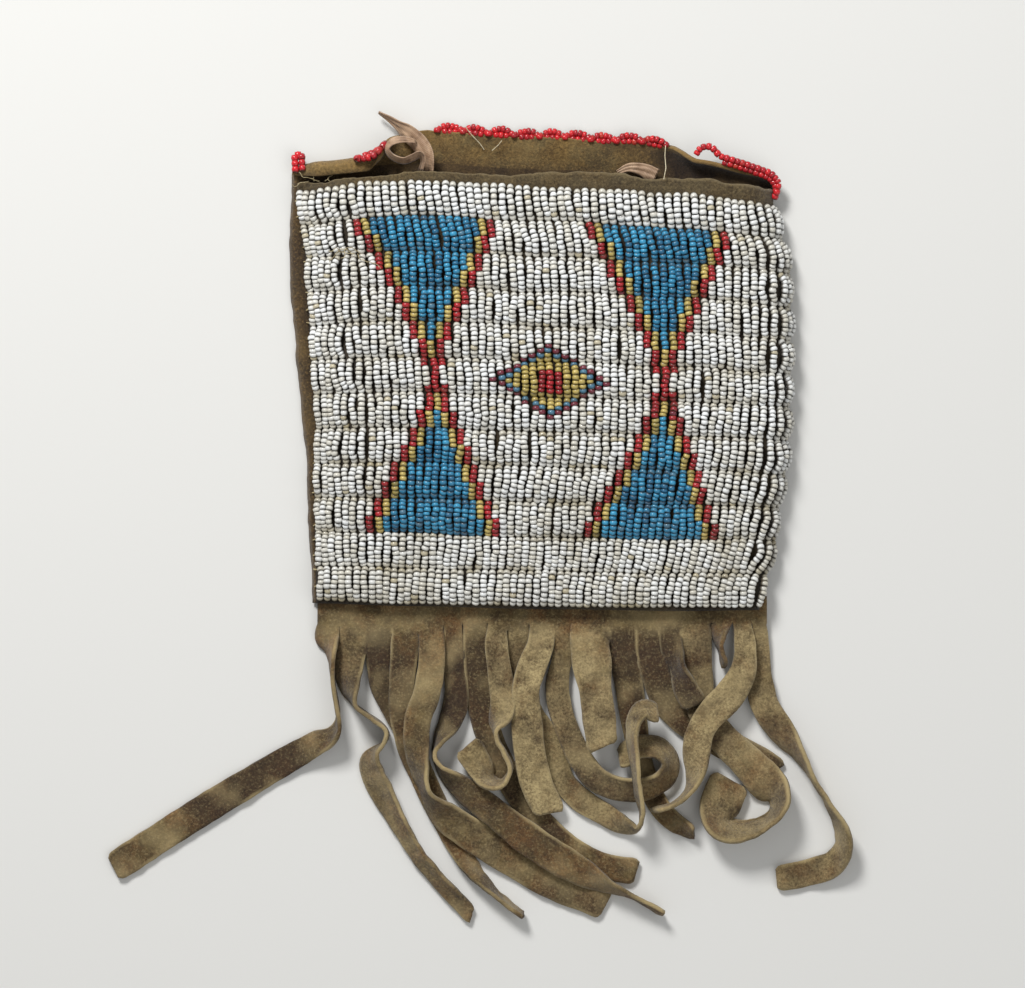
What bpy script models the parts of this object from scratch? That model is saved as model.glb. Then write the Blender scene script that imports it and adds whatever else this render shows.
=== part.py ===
"""A beaded hide tobacco pouch, lying on its back with its mouth towards +Y.

Two hide panels are sewn together at the sides and the bottom. The front one carries twelve lanes of seed
beads, the back one rises past the mouth as a flap with a red beaded edge, and a cut fringe hangs from the
bottom seam. X runs across the pouch, Y along it towards the mouth, and Z up from the surface it lies on.
"""

import math
from typing import NamedTuple

import bmesh
import bpy
from mathutils import Vector

MM = 0.001

# Hide and clearances
HIDE = 1.0 * MM
SEAM_GAP = 0.3 * MM
BEAD_GAP = 0.3 * MM
FIELD_GAP = 0.3 * MM

# Front panel
CAVITY_HEIGHT = 5.5 * MM
BULGE_POWER = 4
LEFT_RISE = 13.0 * MM
RIM_LANES = 0.47
HEM_LANES = 0.08
SEAM_LIFT_START = 1.4
SEAM_LIFT_LANES = 0.6
RISE_STRINGS = 8
TURN_STRINGS = 6
FLAT_COLUMNS = 6

# Beadwork
LANES = 12
STRINGS = 60
LANE_LENGTH = 7.93 * MM
STRING_WIDTH = 1.87 * MM
STRING_CREST = 2.1 * MM
STRING_VALLEY = 1.3 * MM
FIELD_EDGE = 0.8 * MM
STRING_SHOULDER = 0.2
UNDERSIDE_ANGLE = math.radians(1)
HOURGLASS_CENTRES = (15.5, 43.5)
HOURGLASS_LANES = range(1, 10)
HOURGLASS_END_WIDTH = 9.0
WAIST_HALF_WIDTH = 0.6
OUTLINE_STRINGS = 1.0
PATTERN_MIDDLE = 5.5
DIAMOND_CENTRE = 29.5
DIAMOND_HALF_WIDTH = 7.9
DIAMOND_HALF_LENGTH = 1.125
DIAMOND_RING = 0.125
DIAMOND_CORE = 0.36
TAPER = (HOURGLASS_END_WIDTH - WAIST_HALF_WIDTH) / (PATTERN_MIDDLE - HOURGLASS_LANES[0])

# Back panel and flap
BACK_MARGIN = 0.4 * MM
MOUTH_CLEARANCE = 0.5 * MM
BACK_COLUMNS = 30
BACK_ROWS = 4
FLAP_ROWS = 6

# Red edge beading
EDGE_BEAD_RADIUS = 0.65 * MM
EDGE_RUNS = {
    "edge_beads_left": (-43, -36.5),
    "edge_beads_middle": (-25, 27),
    "edge_beads_right": (33, 50.6),
}
EDGE_STEP = 1.4 * MM
EDGE_NEAR = 1.0 * MM
EDGE_FAR = 1.9 * MM
SCALLOP = 5.6 * MM
CORNER_BEADS = ((-56.9, 50.6, 5.2), (-57.1, 54.4, 4.4), (-55.6, 54.6, 4.4), (-55.3, 50.9, 5.2))

# Fringe: one hide strip, cut into straps below its header
STRAP_WIDTH = 5.3 * MM
STRAP_STEP = 3.0 * MM
STRAP_SHOULDER_STEPS = 3
CUT_WIDTH = 0.5 * MM
HEADER_TOP_Y = -45.4 * MM
HEADER_END_Y = -51.2 * MM
HEADER_CUTS = (
    -52.0, -46.8, -40.5, -35.0, -29.4, -23.5, -19.3, -13.7, -9.0, -4.3,
    1.3, 5.2, 13.8, 19.8, 25.2, 30.0, 36.8, 41.6, 46.0, 49.4,
)
# Each strap's middle line: x, y, z in millimetres and how far it is turned on its edge in degrees
STRAPS = (
    (
        (-49.8, -54.6, 1.7, 20), (-48.9, -58, 2.9, 70), (-48.6, -64, 3.2, 88), (-47.4, -71.5, 3.2, 88),
        (-48.2, -76, 3.0, 65), (-53, -79, 1.6, 22), (-60, -83, 0.8, 0), (-78, -93.8, 0.7, 0),
        (-98.2, -106.8, 0.7, 0),
    ),
    (
        (-44.4, -58, 1.8, 8), (-45.0, -64, 2.7, 40), (-43.6, -69.6, 3.5, 85), (-39.5, -72.8, 3.5, 90),
        (-36.4, -75.4, 3.4, 90), (-36.8, -78.3, 3.3, 90), (-39.1, -80.2, 3.1, 75), (-40.1, -83.2, 2.7, 45),
        (-38.2, -88.5, 2.3, 35), (-33.8, -96.5, 2.4, 40), (-29.6, -103.5, 2.4, 40), (-24.2, -110, 2.1, 35),
        (-17.2, -117.6, 0.8, 0),
    ),
    (
        (-38.2, -58, 1.5, 0), (-37.4, -65, 1.2, 0), (-35.0, -70, 0.9, 0), (-32, -75, 0.8, 0),
        (-30, -79, 0.8, 0),
    ),
    (
        (-32.4, -58, 2.4, 0), (-33.0, -66, 3.0, 0), (-32.8, -72, 3.0, 5), (-31.2, -78.5, 2.4, 5),
        (-29.0, -84.5, 0.9, 0), (-25.6, -92, 0.7, 0), (-21.4, -100, 0.7, 0), (-17.4, -106.4, 1.2, -12),
        (-12.2, -112.0, 2.4, -45), (-5.8, -117.4, 2.4, -50),
    ),
    (
        (-26.2, -60, 3.2, 0), (-27.4, -67.5, 4.2, 0), (-29.2, -72.5, 4.6, 0), (-29.6, -78, 4.6, 10),
        (-29.2, -83.5, 3.9, 35), (-28.0, -88.5, 3.2, 30), (-24.2, -93.4, 2.8, 0), (-17.6, -98.3, 2.4, 0),
        (-10.8, -103.2, 1.0, 0), (-1, -109, 0.7, 0), (8.3, -113, 0.7, 0), (13.3, -114.8, 0.7, 0),
    ),
    (
        (-21.2, -60, 1.3, 0), (-20.6, -68, 1.0, 0), (-22.0, -73.6, 1.4, 20), (-24.4, -77.4, 2.8, 65),
        (-25.7, -80.8, 3.3, 88), (-24.2, -84.2, 3.3, 75), (-20.0, -88.0, 3.0, 30), (-12.7, -93.6, 3.2, 5),
        (-5.9, -99.0, 2.8, 0), (0.5, -103.4, 2.5, 0), (9.0, -108.4, 2.3, 0),
    ),
    (
        (-16.0, -60, 1.4, 0), (-15.4, -67, 0.9, 0), (-14.2, -74, 0.7, 0), (-11.6, -81, 0.7, 0),
        (-8.6, -86.8, 0.7, 0), (-4.6, -92.8, 0.7, 0), (0.8, -99, 0.7, 0), (6.6, -103.6, 0.7, 0),
        (13.0, -106.4, 0.7, 0), (20.0, -107.6, 0.7, 0),
    ),
    (
        (-11.6, -57, 2.8, 0), (-10.4, -66, 3.6, 0), (-10.4, -71, 4.2, 25), (-12.0, -74.6, 4.4, 75),
        (-11.7, -77.6, 4.4, 90), (-9.9, -80.8, 4.4, 90), (-8.6, -84, 4.4, 90), (-10.2, -87.2, 4.4, 85),
        (-13.4, -86.8, 4.0, 60), (-15.8, -83.2, 3.4, 20), (-18.2, -79, 3.2, 0),
    ),
    (
        (-6.6, -57, 1.0, 0), (-6.0, -65, 0.8, 0), (-3.4, -72, 0.8, 0), (0.2, -77.6, 0.8, 0),
        (2.0, -82.4, 0.8, 0), (3.6, -87.4, 0.8, 0), (8.0, -91.8, 0.8, 0), (13.2, -94.8, 1.0, 8),
        (17.6, -97.2, 2.6, 45), (20.2, -97.6, 4.2, 80), (21.0, -94.2, 5.8, 95), (20.2, -89.4, 7.0, 100),
        (19.5, -83.0, 7.4, 106), (18.9, -76.8, 7.2, 116), (19.4, -72.8, 6.8, 126), (21.6, -70.6, 6.6, 134),
        (24.6, -71.8, 6.4, 140),
    ),
    (
        (-1.6, -56, 2.6, 0), (-3.6, -61.2, 3.8, 0), (-5.0, -66.5, 4.2, 0), (-4.8, -73, 4.2, 0),
        (-4.2, -80, 4.0, 0), (-2.6, -87.5, 3.4, 0), (0.6, -94.2, 2.6, 0),
    ),
    (
        (3.4, -58, 1.4, 0), (2.2, -64.5, 1.4, 0), (2.6, -70, 1.8, 0), (4.8, -76.5, 2.6, 0),
        (7.6, -82.4, 2.8, 5), (11.2, -86.8, 3.0, 15), (16.4, -88.8, 3.0, 20), (22.0, -88.8, 3.1, 25),
        (26.4, -86.4, 3.4, 38), (27.6, -82.6, 3.6, 50), (25.0, -79.6, 3.5, 42), (20.4, -79.4, 3.2, 30),
        (16.0, -81.8, 3.0, 25),
    ),
    (
        (9.4, -56, 3.0, 0), (9.8, -60, 4.2, 0), (10.6, -66, 4.8, 0), (11.4, -72, 5.0, 0),
        (12.2, -79.4, 5.2, 0),
    ),
    (
        (17.2, -58, 1.6, 0), (18.4, -66, 1.1, 0), (19.4, -73, 0.8, 0), (20.6, -80, 0.7, 0),
        (22.4, -87, 0.7, 0), (25.4, -93.2, 0.7, 0), (28.8, -96.6, 1.5, 25), (33.0, -98.8, 2.4, 60),
    ),
    (
        (23.0, -58, 1.6, 0), (25.0, -65, 1.0, 0), (27.8, -70.4, 0.7, 0), (32.0, -74.4, 0.7, 0),
        (37.4, -77.4, 0.7, 0), (42.6, -80.0, 0.7, 0), (47.2, -82.4, 0.7, 0), (51.2, -85.0, 0.7, 0),
    ),
    (
        (27.8, -56.4, 2.4, 10), (29.2, -61.6, 3.0, 55), (31.2, -66.4, 3.1, 10), (33.2, -70, 3.2, 0),
    ),
    (
        (33.4, -58, 1.2, 0), (33.6, -64, 1.1, 0), (34.4, -69, 1.9, 0), (36.6, -74, 2.2, 0),
        (40.6, -78.6, 2.1, 0), (45.0, -82.8, 2.1, 0), (49.2, -87.2, 2.4, 15), (51.8, -90.8, 3.4, 55),
        (51.0, -94.2, 3.7, 75), (47.6, -96.8, 3.7, 72), (42.8, -98.4, 3.6, 62), (38.8, -97.8, 3.4, 50),
        (37.6, -94.6, 2.8, 28), (39.2, -90.8, 2.0, 8), (41.4, -87.2, 1.0, 0),
    ),
    (
        (38.5, -53.6, 2.8, 50), (38.8, -57.2, 3.5, 85), (39.8, -61, 3.4, 75),
    ),
    (
        (44.4, -56, 2.9, 0), (44.0, -62, 3.6, 0), (41.0, -67.4, 4.2, 0), (36.8, -71.8, 4.4, 0),
        (34.2, -76, 4.4, 5), (33.4, -80.4, 4.6, 20), (33.2, -84.8, 4.4, 50), (32.0, -88.8, 4.1, 80),
        (28.6, -92.0, 4.4, 88), (23.8, -93.6, 4.4, 88),
    ),
    (
        (48.0, -57, 1.4, 0), (48.0, -64, 1.6, 0), (48.8, -69.6, 2.0, 0), (52.2, -75.0, 2.7, 20),
        (56.4, -80.8, 3.1, 65), (60.2, -87, 3.2, 88), (63.8, -93, 3.2, 82), (66.2, -98, 3.0, 65),
        (66.6, -102.2, 2.8, 55), (64.0, -105.8, 1.6, 25), (59, -107.8, 0.8, 0), (51.6, -109.2, 0.7, 0),
    ),
)
# The straps that were cut narrower or wider than the rest, in millimetres, at their upper and lower parts
STRAP_WIDTHS = {
    1: (6.2, 5.3), 4: (5.3, 7.0), 5: (4.4, 6.8), 7: (4.8, 6.2), 8: (4.6, 4.4), 10: (4.6, 5.0),
    11: (6.8, 6.8), 12: (5.8, 4.2), 13: (5.6, 6.0), 15: (5.8, 6.4), 16: (4.2, 3.4), 17: (5.8, 5.4),
    18: (5.2, 5.3),
}
STRAP_WIDENS = (0.3, 0.7)

# Ribbon: a narrow silk strip knotted through the flap, one loop and a thin tail
RIBBON_WIDTH = 4.2 * MM
RIBBON_THICKNESS = 0.5 * MM
RIBBON_STEP = 1.8 * MM
RIBBON_TIP_SHARE = 0.3
RIBBON_TIP_STEPS = 4
RIBBON = (
    (-38.2, 63.6, 2.6, 80), (-35.0, 61.4, 3.0, 70), (-31.6, 59.0, 3.6, 45), (-28.4, 56.2, 4.0, 30),
    (-26.6, 53.6, 4.0, 20), (-27.2, 51.9, 4.2, 60), (-29.2, 52.0, 4.8, 85), (-30.4, 53.4, 5.2, 80),
    (-33.0, 53.6, 6.0, 70), (-35.4, 54.9, 6.6, 75), (-34.8, 57.0, 6.8, 70), (-32.4, 57.6, 6.8, 60),
)

# Lines of the outline, each a few points in millimetres read as a smooth curve: the front's and back's edges
# give an x for each y, the beadwork's first and last rows a y for each x, and the flap's turn in degrees and
# its reach in millimetres for each x
FRONT_LEFT = ((-47, -52.3), (-20, -52.6), (-8, -52.2), (15, -53.8), (30, -54.6), (46, -56.6))
FRONT_RIGHT = ((-47, 47.2), (-30, 50.0), (-10, 52.6), (10, 53.4), (30, 53.0), (45, 50.4))
BACK_LEFT = ((-47, -52.8), (-20, -54.0), (10, -56.6), (30, -58.2), (50, -57.6))
BEADS_TOP = ((-57, 46.2), (-30, 48.1), (0, 46.6), (30, 45.0), (55, 42.4))
BEADS_BOTTOM = ((-53, -46.3), (-30, -46.9), (0, -47.6), (30, -48.0), (50, -47.8))
FLAP_TURN = (
    (-58, 150), (-46, 150), (-40, 125), (-32, 5), (12, 8), (20, 30), (27, 60), (34, 95), (52, 95),
)
FLAP_REACH = (
    (-58, 4.5), (-46, 6.3), (-34, 6.5), (-28, 7.5), (0, 7.5), (12, 6.5), (34, 6.0), (46, 4.5), (52, 3.2),
)
LEAST_TURN = 0.01

WHITE = ("white_glass_beads", (0.78, 0.76, 0.70), 0.25)
BLUE = ("turquoise_glass_beads", (0.03, 0.21, 0.38), 0.25)
YELLOW = ("ochre_glass_beads", (0.46, 0.32, 0.06), 0.25)
RED = ("red_glass_beads", (0.42, 0.01, 0.02), 0.25)
EDGE_RED = ("bright_red_edge_beads", (0.60, 0.01, 0.01), 0.22)
FRONT_HIDE = ("smoked_hide_front", (0.13, 0.085, 0.035), 0.9)
BACK_HIDE = ("smoked_hide_back", (0.20, 0.13, 0.05), 0.9)
FRINGE_HIDE = ("fringe_hide", (0.25, 0.18, 0.07), 0.9)
SILK = ("faded_silk", (0.45, 0.26, 0.17), 0.6)


def line(points, at):
    """The value of a line of the outline at a place in metres, smooth between its points in millimetres."""
    place = at / MM
    if place <= points[0][0]:
        return points[0][1] * MM
    for (x0, y0), (x1, y1) in zip(points, points[1:]):
        if place <= x1:
            share = (place - x0) / (x1 - x0)
            return (y0 + (y1 - y0) * share * share * (3 - 2 * share)) * MM
    return points[-1][1] * MM


def eased(share):
    share = min(max(share, 0.0), 1.0)
    return share * share * (3 - 2 * share)


def lane_y(x, lanes):
    """The Y of a place so many lanes down from the top of the beadwork."""
    top = line(BEADS_TOP, x)
    return top + (line(BEADS_BOTTOM, x) - top) * lanes / LANES


def bulge(lanes):
    """How far the front stands off the back at this lane: full at the mouth, least at the bottom seam."""
    return max(CAVITY_HEIGHT * (1 - (max(lanes, 0) / LANES) ** BULGE_POWER), HIDE)


def seam_lift(lanes):
    """The front rises over the fringe's top edge, which is held in the bottom seam."""
    return (HIDE + SEAM_GAP) * eased((lanes - LANES + SEAM_LIFT_START) / SEAM_LIFT_LANES)


def front_point(share, lanes, height=0.0):
    """A point on the front's middle surface, or so high above it: share runs from left edge to right."""
    above = math.floor(lanes)
    start = lane_edge_point(share, above, height)
    if above == lanes:
        return start
    return start.lerp(lane_edge_point(share, above + 1, height), lanes - above)


def lane_edge_point(share, lanes, height):
    """The front bends along the lanes' edges, and is straight from one to the next."""
    nominal_y = lane_y(0, lanes)
    left, right = line(FRONT_LEFT, nominal_y), line(FRONT_RIGHT, nominal_y)
    rise = bulge(lanes)
    turn = rise + HIDE / 2
    slope_length = math.hypot(LEFT_RISE, rise)
    flat_length = right - left - LEFT_RISE - turn
    along = share * (slope_length + flat_length + turn * math.pi / 2)
    base = HIDE + SEAM_GAP + seam_lift(lanes)
    if along < slope_length:
        part = along / slope_length
        steep = math.atan2(rise * 6 * part * (1 - part), LEFT_RISE)
        x, z = left + LEFT_RISE * part, base + HIDE / 2 + rise * eased(part)
        across, up = -math.sin(steep), math.cos(steep)
    else:
        angle = max(along - slope_length - flat_length, 0) / turn
        x = left + LEFT_RISE + min(along - slope_length, flat_length) + turn * math.sin(angle)
        z = base + turn * math.cos(angle)
        across, up = math.sin(angle), math.cos(angle)
    x += across * height
    return Vector((x, lane_y(x, lanes), z + up * height))


def collection(name):
    made = bpy.data.collections.new(name)
    bpy.context.scene.collection.children.link(made)
    return made


def material(finish):
    name, colour, roughness = finish
    made = bpy.data.materials.get(name) or bpy.data.materials.new(name)
    made.use_nodes = True
    shader = made.node_tree.nodes["Principled BSDF"]
    shader.inputs["Base Color"].default_value = (*colour, 1)
    shader.inputs["Roughness"].default_value = roughness
    shader.inputs["Metallic"].default_value = 0
    return made


def add_mesh(name, bm, finish, parts):
    mesh = bpy.data.meshes.new(name)
    bm.to_mesh(mesh)
    bm.free()
    made = bpy.data.objects.new(name, mesh)
    mesh.materials.append(material(finish))
    parts.objects.link(made)
    return made


def thicken(made, thickness):
    """Turns an open sheet into hide, half of its thickness to each side."""
    solid = made.modifiers.new("Thickness", "SOLIDIFY")
    solid.thickness = thickness
    solid.offset = 0
    return made


def add_sheet(name, columns, rows, place, finish, parts):
    """A sheet of hide: place(column share, row share) gives its middle surface."""
    bm = bmesh.new()
    bmesh.ops.create_grid(bm, x_segments=columns, y_segments=rows, size=0.5)
    for vertex in bm.verts:
        vertex.co = place(vertex.co.x + 0.5, vertex.co.y + 0.5)
    bmesh.ops.recalc_face_normals(bm, faces=bm.faces)
    made = add_mesh(name, bm, finish, parts)
    made.data.shade_smooth()
    return thicken(made, HIDE)


def add_front_panel(parts):
    """The front's rows lie on the lanes' edges, and its columns are closest where it bends."""
    flat = STRINGS - RISE_STRINGS - TURN_STRINGS
    columns = list(range(RISE_STRINGS))
    columns += [RISE_STRINGS + flat * step / FLAT_COLUMNS for step in range(FLAT_COLUMNS)]
    columns += range(STRINGS - TURN_STRINGS, STRINGS + 1)
    rows = [-RIM_LANES, *range(LANES + 1), LANES + HEM_LANES]

    def place(across, down):
        column = columns[round(across * (len(columns) - 1))]
        return front_point(column / STRINGS, rows[round(down * (len(rows) - 1))])

    add_sheet("front_panel", len(columns) - 1, len(rows) - 1, place, FRONT_HIDE, parts)


def mouth_y(x):
    return lane_y(x, -RIM_LANES) + MOUTH_CLEARANCE


def flap_point(x, share, beyond=0.0, height=0.0):
    """A point on the flap: it leaves the mouth line flat and rolls up, more at its two ends."""
    turn = max(math.radians(line(FLAP_TURN, x) / MM), LEAST_TURN)
    radius = line(FLAP_REACH, x) / turn
    angle = turn * share
    along, out = math.cos(angle), math.sin(angle)
    y = mouth_y(x) + radius * out + beyond * along - height * out
    z = HIDE / 2 + radius * (1 - along) + beyond * out + height * along
    return Vector((x, y, z))


def back_point(across, up):
    """A point on the back panel: flat from the bottom seam to the mouth line, then the flap."""
    body = BACK_ROWS / (BACK_ROWS + FLAP_ROWS)
    share = min(up / body, 1)
    bottom = lane_y(0, LANES + HEM_LANES)
    nominal_y = bottom + (mouth_y(0) - bottom) * share
    left = line(BACK_LEFT, nominal_y)
    x = left + (line(FRONT_RIGHT, nominal_y) + BACK_MARGIN - left) * across
    if up > body:
        return flap_point(x, (up - body) / (1 - body))
    bottom = lane_y(x, LANES + HEM_LANES)
    return Vector((x, bottom + (mouth_y(x) - bottom) * share, HIDE / 2))


# Beadwork: every field is cut from the same strings, in units of strings across and lanes down


class Cut(NamedTuple):
    """Keeps what has across * u + down * v <= limit, less half a gap unless the cut is inside one field."""

    across: float
    down: float
    limit: float
    gap: float = FIELD_GAP / 2


def clip(points, cut):
    """The part of a face that one cut keeps."""
    reach = math.hypot(cut.across / STRING_WIDTH, cut.down / LANE_LENGTH)
    limit = cut.limit - cut.gap * reach
    kept = []
    for here, ahead in zip(points, points[1:] + points[:1]):
        inside = cut.across * here[0] + cut.down * here[1] - limit
        next_inside = cut.across * ahead[0] + cut.down * ahead[1] - limit
        if inside <= 0:
            kept.append(here)
        if inside * next_inside < 0:
            share = inside / (inside - next_inside)
            kept.append(tuple(a + (b - a) * share for a, b in zip(here, ahead)))
    return kept


def string_faces(string, lane, first_edge, last_edge):
    """One string of beads: it rises from the lane's edges to a crest, with a valley to each neighbour."""
    left, middle, right = string, string + 0.5, string + 1
    inset = FIELD_GAP / 2 / LANE_LENGTH
    top = lane + (0 if first_edge else inset)
    bottom = lane + 1 - (0 if last_edge else inset)
    top_left, top_right = (left, top, first_edge), (right, top, first_edge)
    low_left, low_right = (left, bottom, last_edge), (right, bottom, last_edge)
    crest = (middle, lane + STRING_SHOULDER, STRING_CREST)
    crest_end = (middle, lane + 1 - STRING_SHOULDER, STRING_CREST)
    valley_left, valley_right = (left, lane + 0.5, STRING_VALLEY), (right, lane + 0.5, STRING_VALLEY)
    return (
        (top_left, top_right, crest),
        (top_left, crest, valley_left),
        (top_right, valley_right, crest),
        (crest, crest_end, valley_left),
        (crest, valley_right, crest_end),
        (crest_end, low_left, valley_left),
        (crest_end, valley_right, low_right),
        (crest_end, low_right, low_left),
    )


def ridge_faces(string, lane, *_edges):
    """A string as a plain ridge, for the narrow outlines, which run on from lane to lane."""
    left, middle, right = (string, STRING_VALLEY), (string + 0.5, STRING_CREST), (string + 1, STRING_VALLEY)
    return tuple(
        (
            (start, lane, start_height),
            (end, lane, end_height),
            (end, lane + 1, end_height),
            (start, lane + 1, start_height),
        )
        for (start, start_height), (end, end_height) in ((left, middle), (middle, right))
    )


def bead_point(point):
    """Where a point of the beadwork lies: strings across, lanes down and its height over the hide."""
    across, down, height = point
    return front_point(across / STRINGS, down, HIDE / 2 + BEAD_GAP + height)


def add_field(name, patches, lanes, finish, parts, faces_of=string_faces):
    """One field of beads: each patch is a list of cuts, and the field is what they keep of these lanes."""
    bm = bmesh.new()
    heights = {}
    corners = {}

    def corner(point):
        key = tuple(round(value, 5) for value in point[:2])
        if key not in corners:
            corners[key] = bm.verts.new(bead_point(point))
            heights[corners[key]] = point
        return corners[key]

    for lane in lanes:
        first_edge = FIELD_EDGE if lane > lanes[0] else 0
        last_edge = FIELD_EDGE if lane < lanes[-1] else 0
        for string in range(STRINGS):
            for face in faces_of(string, lane, first_edge, last_edge):
                for patch in patches:
                    kept = list(face)
                    for cut in patch:
                        kept = clip(kept, cut) if kept else kept
                    loop = list(dict.fromkeys(corner(point) for point in kept))
                    if len(loop) > 2:
                        bm.faces.new(loop)
    bmesh.ops.delete(bm, geom=[vertex for vertex in bm.verts if not vertex.link_faces], context="VERTS")
    under(bm, heights)
    return add_mesh(name, bm, finish, parts)


def under(bm, heights):
    """Closes a field with an underside that lies on the hide, and walls where its edge is high."""
    top = list(bm.faces)
    copies = {vertex: bm.verts.new(bead_point((*heights[vertex][:2], 0))) for vertex in list(bm.verts)}
    low = [bm.faces.new([copies[corner] for corner in reversed(face.verts)]) for face in top]
    for edge in [edge for edge in bm.edges if edge.is_boundary and edge.link_faces[0] in top]:
        start, end = edge.verts
        bm.faces.new([end, start, copies[start], copies[end]])
    bmesh.ops.remove_doubles(bm, verts=bm.verts, dist=0.001 * MM)
    low = [face for face in low if face.is_valid]
    corners = {corner for face in low for corner in face.verts}
    edges = {edge for face in low for edge in face.edges if all(other in low for other in edge.link_faces)}
    bmesh.ops.dissolve_limit(bm, angle_limit=UNDERSIDE_ANGLE, verts=list(corners), edges=list(edges))
    bmesh.ops.recalc_face_normals(bm, faces=bm.faces)


def half_of_pattern(half):
    """The upper half is 1 and the lower half is -1; both run to the pattern's middle."""
    return Cut(0, half, half * PATTERN_MIDDLE, 0)


def within_hourglass(centre, side, half, inset=0.0):
    limit = side * centre + WAIST_HALF_WIDTH + TAPER * half * PATTERN_MIDDLE - inset
    return Cut(side, TAPER * half, limit)


def within_diamond(side, half, share=1.0):
    across, down = side / DIAMOND_HALF_WIDTH, -half / DIAMOND_HALF_LENGTH
    return Cut(across, down, across * DIAMOND_CENTRE + down * PATTERN_MIDDLE + share)


def beyond(cut):
    return Cut(-cut.across, -cut.down, -cut.limit)


def on_side(side, centre):
    """Divides one field into two patches along a line of strings."""
    return Cut(-side, 0, -side * centre, 0)


def whole_lane():
    return [Cut(-1, 0, 0), Cut(1, 0, STRINGS)]


def halves_of(lane):
    halves = [1] if lane < PATTERN_MIDDLE else []
    return halves + ([-1] if lane + 1 > PATTERN_MIDDLE else [])


def add_white_ground(parts):
    first, second = HOURGLASS_CENTRES
    for lane in range(LANES):
        name = f"lane_{lane + 1:02}_white"
        if lane not in HOURGLASS_LANES:
            add_field(name, [whole_lane()], (lane,), WHITE, parts)
            continue
        halves = halves_of(lane)
        for end, centre, side, field_edge in (("left", first, -1, 0), ("right", second, 1, STRINGS)):
            outer = Cut(side, 0, field_edge)
            patches = [
                [beyond(within_hourglass(centre, side, half)), half_of_pattern(half), outer]
                for half in halves
            ]
            add_field(f"{name}_{end}", patches, (lane,), WHITE, parts)
        add_middle_ground(f"{name}_middle", lane, halves, parts)


def add_middle_ground(name, lane, halves, parts):
    """White strings between the hourglasses, cut by the diamond where it reaches."""
    first, second = HOURGLASS_CENTRES
    reach = DIAMOND_HALF_LENGTH + FIELD_GAP / LANE_LENGTH

    def between(half):
        return [
            beyond(within_hourglass(first, 1, half)),
            beyond(within_hourglass(second, -1, half)),
            half_of_pattern(half),
        ]

    def beside(side):
        middle = on_side(side, DIAMOND_CENTRE)
        return [between(half) + [beyond(within_diamond(side, half)), middle] for half in halves]

    if len(halves) > 1:
        add_field(f"{name}_left", beside(-1), (lane,), WHITE, parts)
        add_field(f"{name}_right", beside(1), (lane,), WHITE, parts)
    elif abs(lane + 0.5 - PATTERN_MIDDLE) < reach:
        add_field(name, beside(-1) + beside(1), (lane,), WHITE, parts)
    else:
        add_field(name, [between(halves[0])], (lane,), WHITE, parts)


def add_hourglass(name, centre, parts):
    """A blue triangle above and one below, each outlined in yellow, and one red outline round both."""
    red = []
    for half, end in ((1, "upper"), (-1, "lower")):
        lanes = [lane for lane in HOURGLASS_LANES if half in halves_of(lane)]

        def outline(steps):
            return [
                [
                    within_hourglass(centre, side, half, steps * OUTLINE_STRINGS),
                    beyond(within_hourglass(centre, side, half, (steps + 1) * OUTLINE_STRINGS)),
                    half_of_pattern(half),
                    on_side(side, centre),
                ]
                for side in (-1, 1)
            ]

        red += outline(0)
        add_field(f"{name}_{end}_yellow", outline(1), lanes, YELLOW, parts, ridge_faces)
        blue = [within_hourglass(centre, side, half, 2 * OUTLINE_STRINGS) for side in (-1, 1)]
        add_field(f"{name}_{end}_blue", [blue + [half_of_pattern(half)]], lanes, BLUE, parts)
    add_field(f"{name}_red", red, list(HOURGLASS_LANES), RED, parts, ridge_faces)


def add_diamond(parts):
    """Rings of red and blue round a yellow field with a red core."""
    reach = DIAMOND_HALF_LENGTH + 0.5
    lanes = [lane for lane in HOURGLASS_LANES if abs(lane + 0.5 - PATTERN_MIDDLE) < reach]
    rings = (
        ("diamond_red", RED, 1, 1 - DIAMOND_RING),
        ("diamond_blue", BLUE, 1 - DIAMOND_RING, 1 - 2 * DIAMOND_RING),
        ("diamond_yellow", YELLOW, 1 - 2 * DIAMOND_RING, DIAMOND_CORE),
        ("diamond_core", RED, DIAMOND_CORE, None),
    )
    for name, finish, outer, inner in rings:
        patches = []
        for side in (-1, 1):
            for half in (-1, 1):
                patch = [within_diamond(side, half, outer), half_of_pattern(half)]
                patch.append(on_side(side, DIAMOND_CENTRE))
                if inner:
                    patch.append(beyond(within_diamond(side, half, inner)))
                patches.append(patch)
        add_field(name, patches, lanes, finish, parts, ridge_faces)


def smooth_route(knots, step):
    """Points along a smooth curve through the knots: each holds x, y and z in metres, and a turn."""
    knots = [Vector((x * MM, y * MM, z * MM, math.radians(turn))) for x, y, z, turn in knots]
    route = []
    padded = [2 * knots[0] - knots[1], *knots, 2 * knots[-1] - knots[-2]]
    for before, start, end, after in zip(padded, padded[1:], padded[2:], padded[3:]):
        count = max(1, round((end - start).xyz.length / step))
        slope = (end - before) / 2
        bend = before - (5 * start - 4 * end + after) / 2
        twist = (3 * (start - end) - before + after) / 2
        for share in (number / count for number in range(count)):
            route.append(start + slope * share + bend * share**2 + twist * share**3)
    return [*route, knots[-1]]


def strap_sides(route, number, width):
    """The two edges of a strap at one point of its route."""
    here = route[number]
    ahead = (route[min(number + 1, len(route) - 1)] - route[max(number - 1, 0)]).xyz
    side = Vector((-ahead.y, ahead.x, 0)).normalized()
    half = (side * math.cos(here[3]) + Vector((0, 0, math.sin(here[3])))) * width / 2
    return here.xyz - half, here.xyz + half


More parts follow.
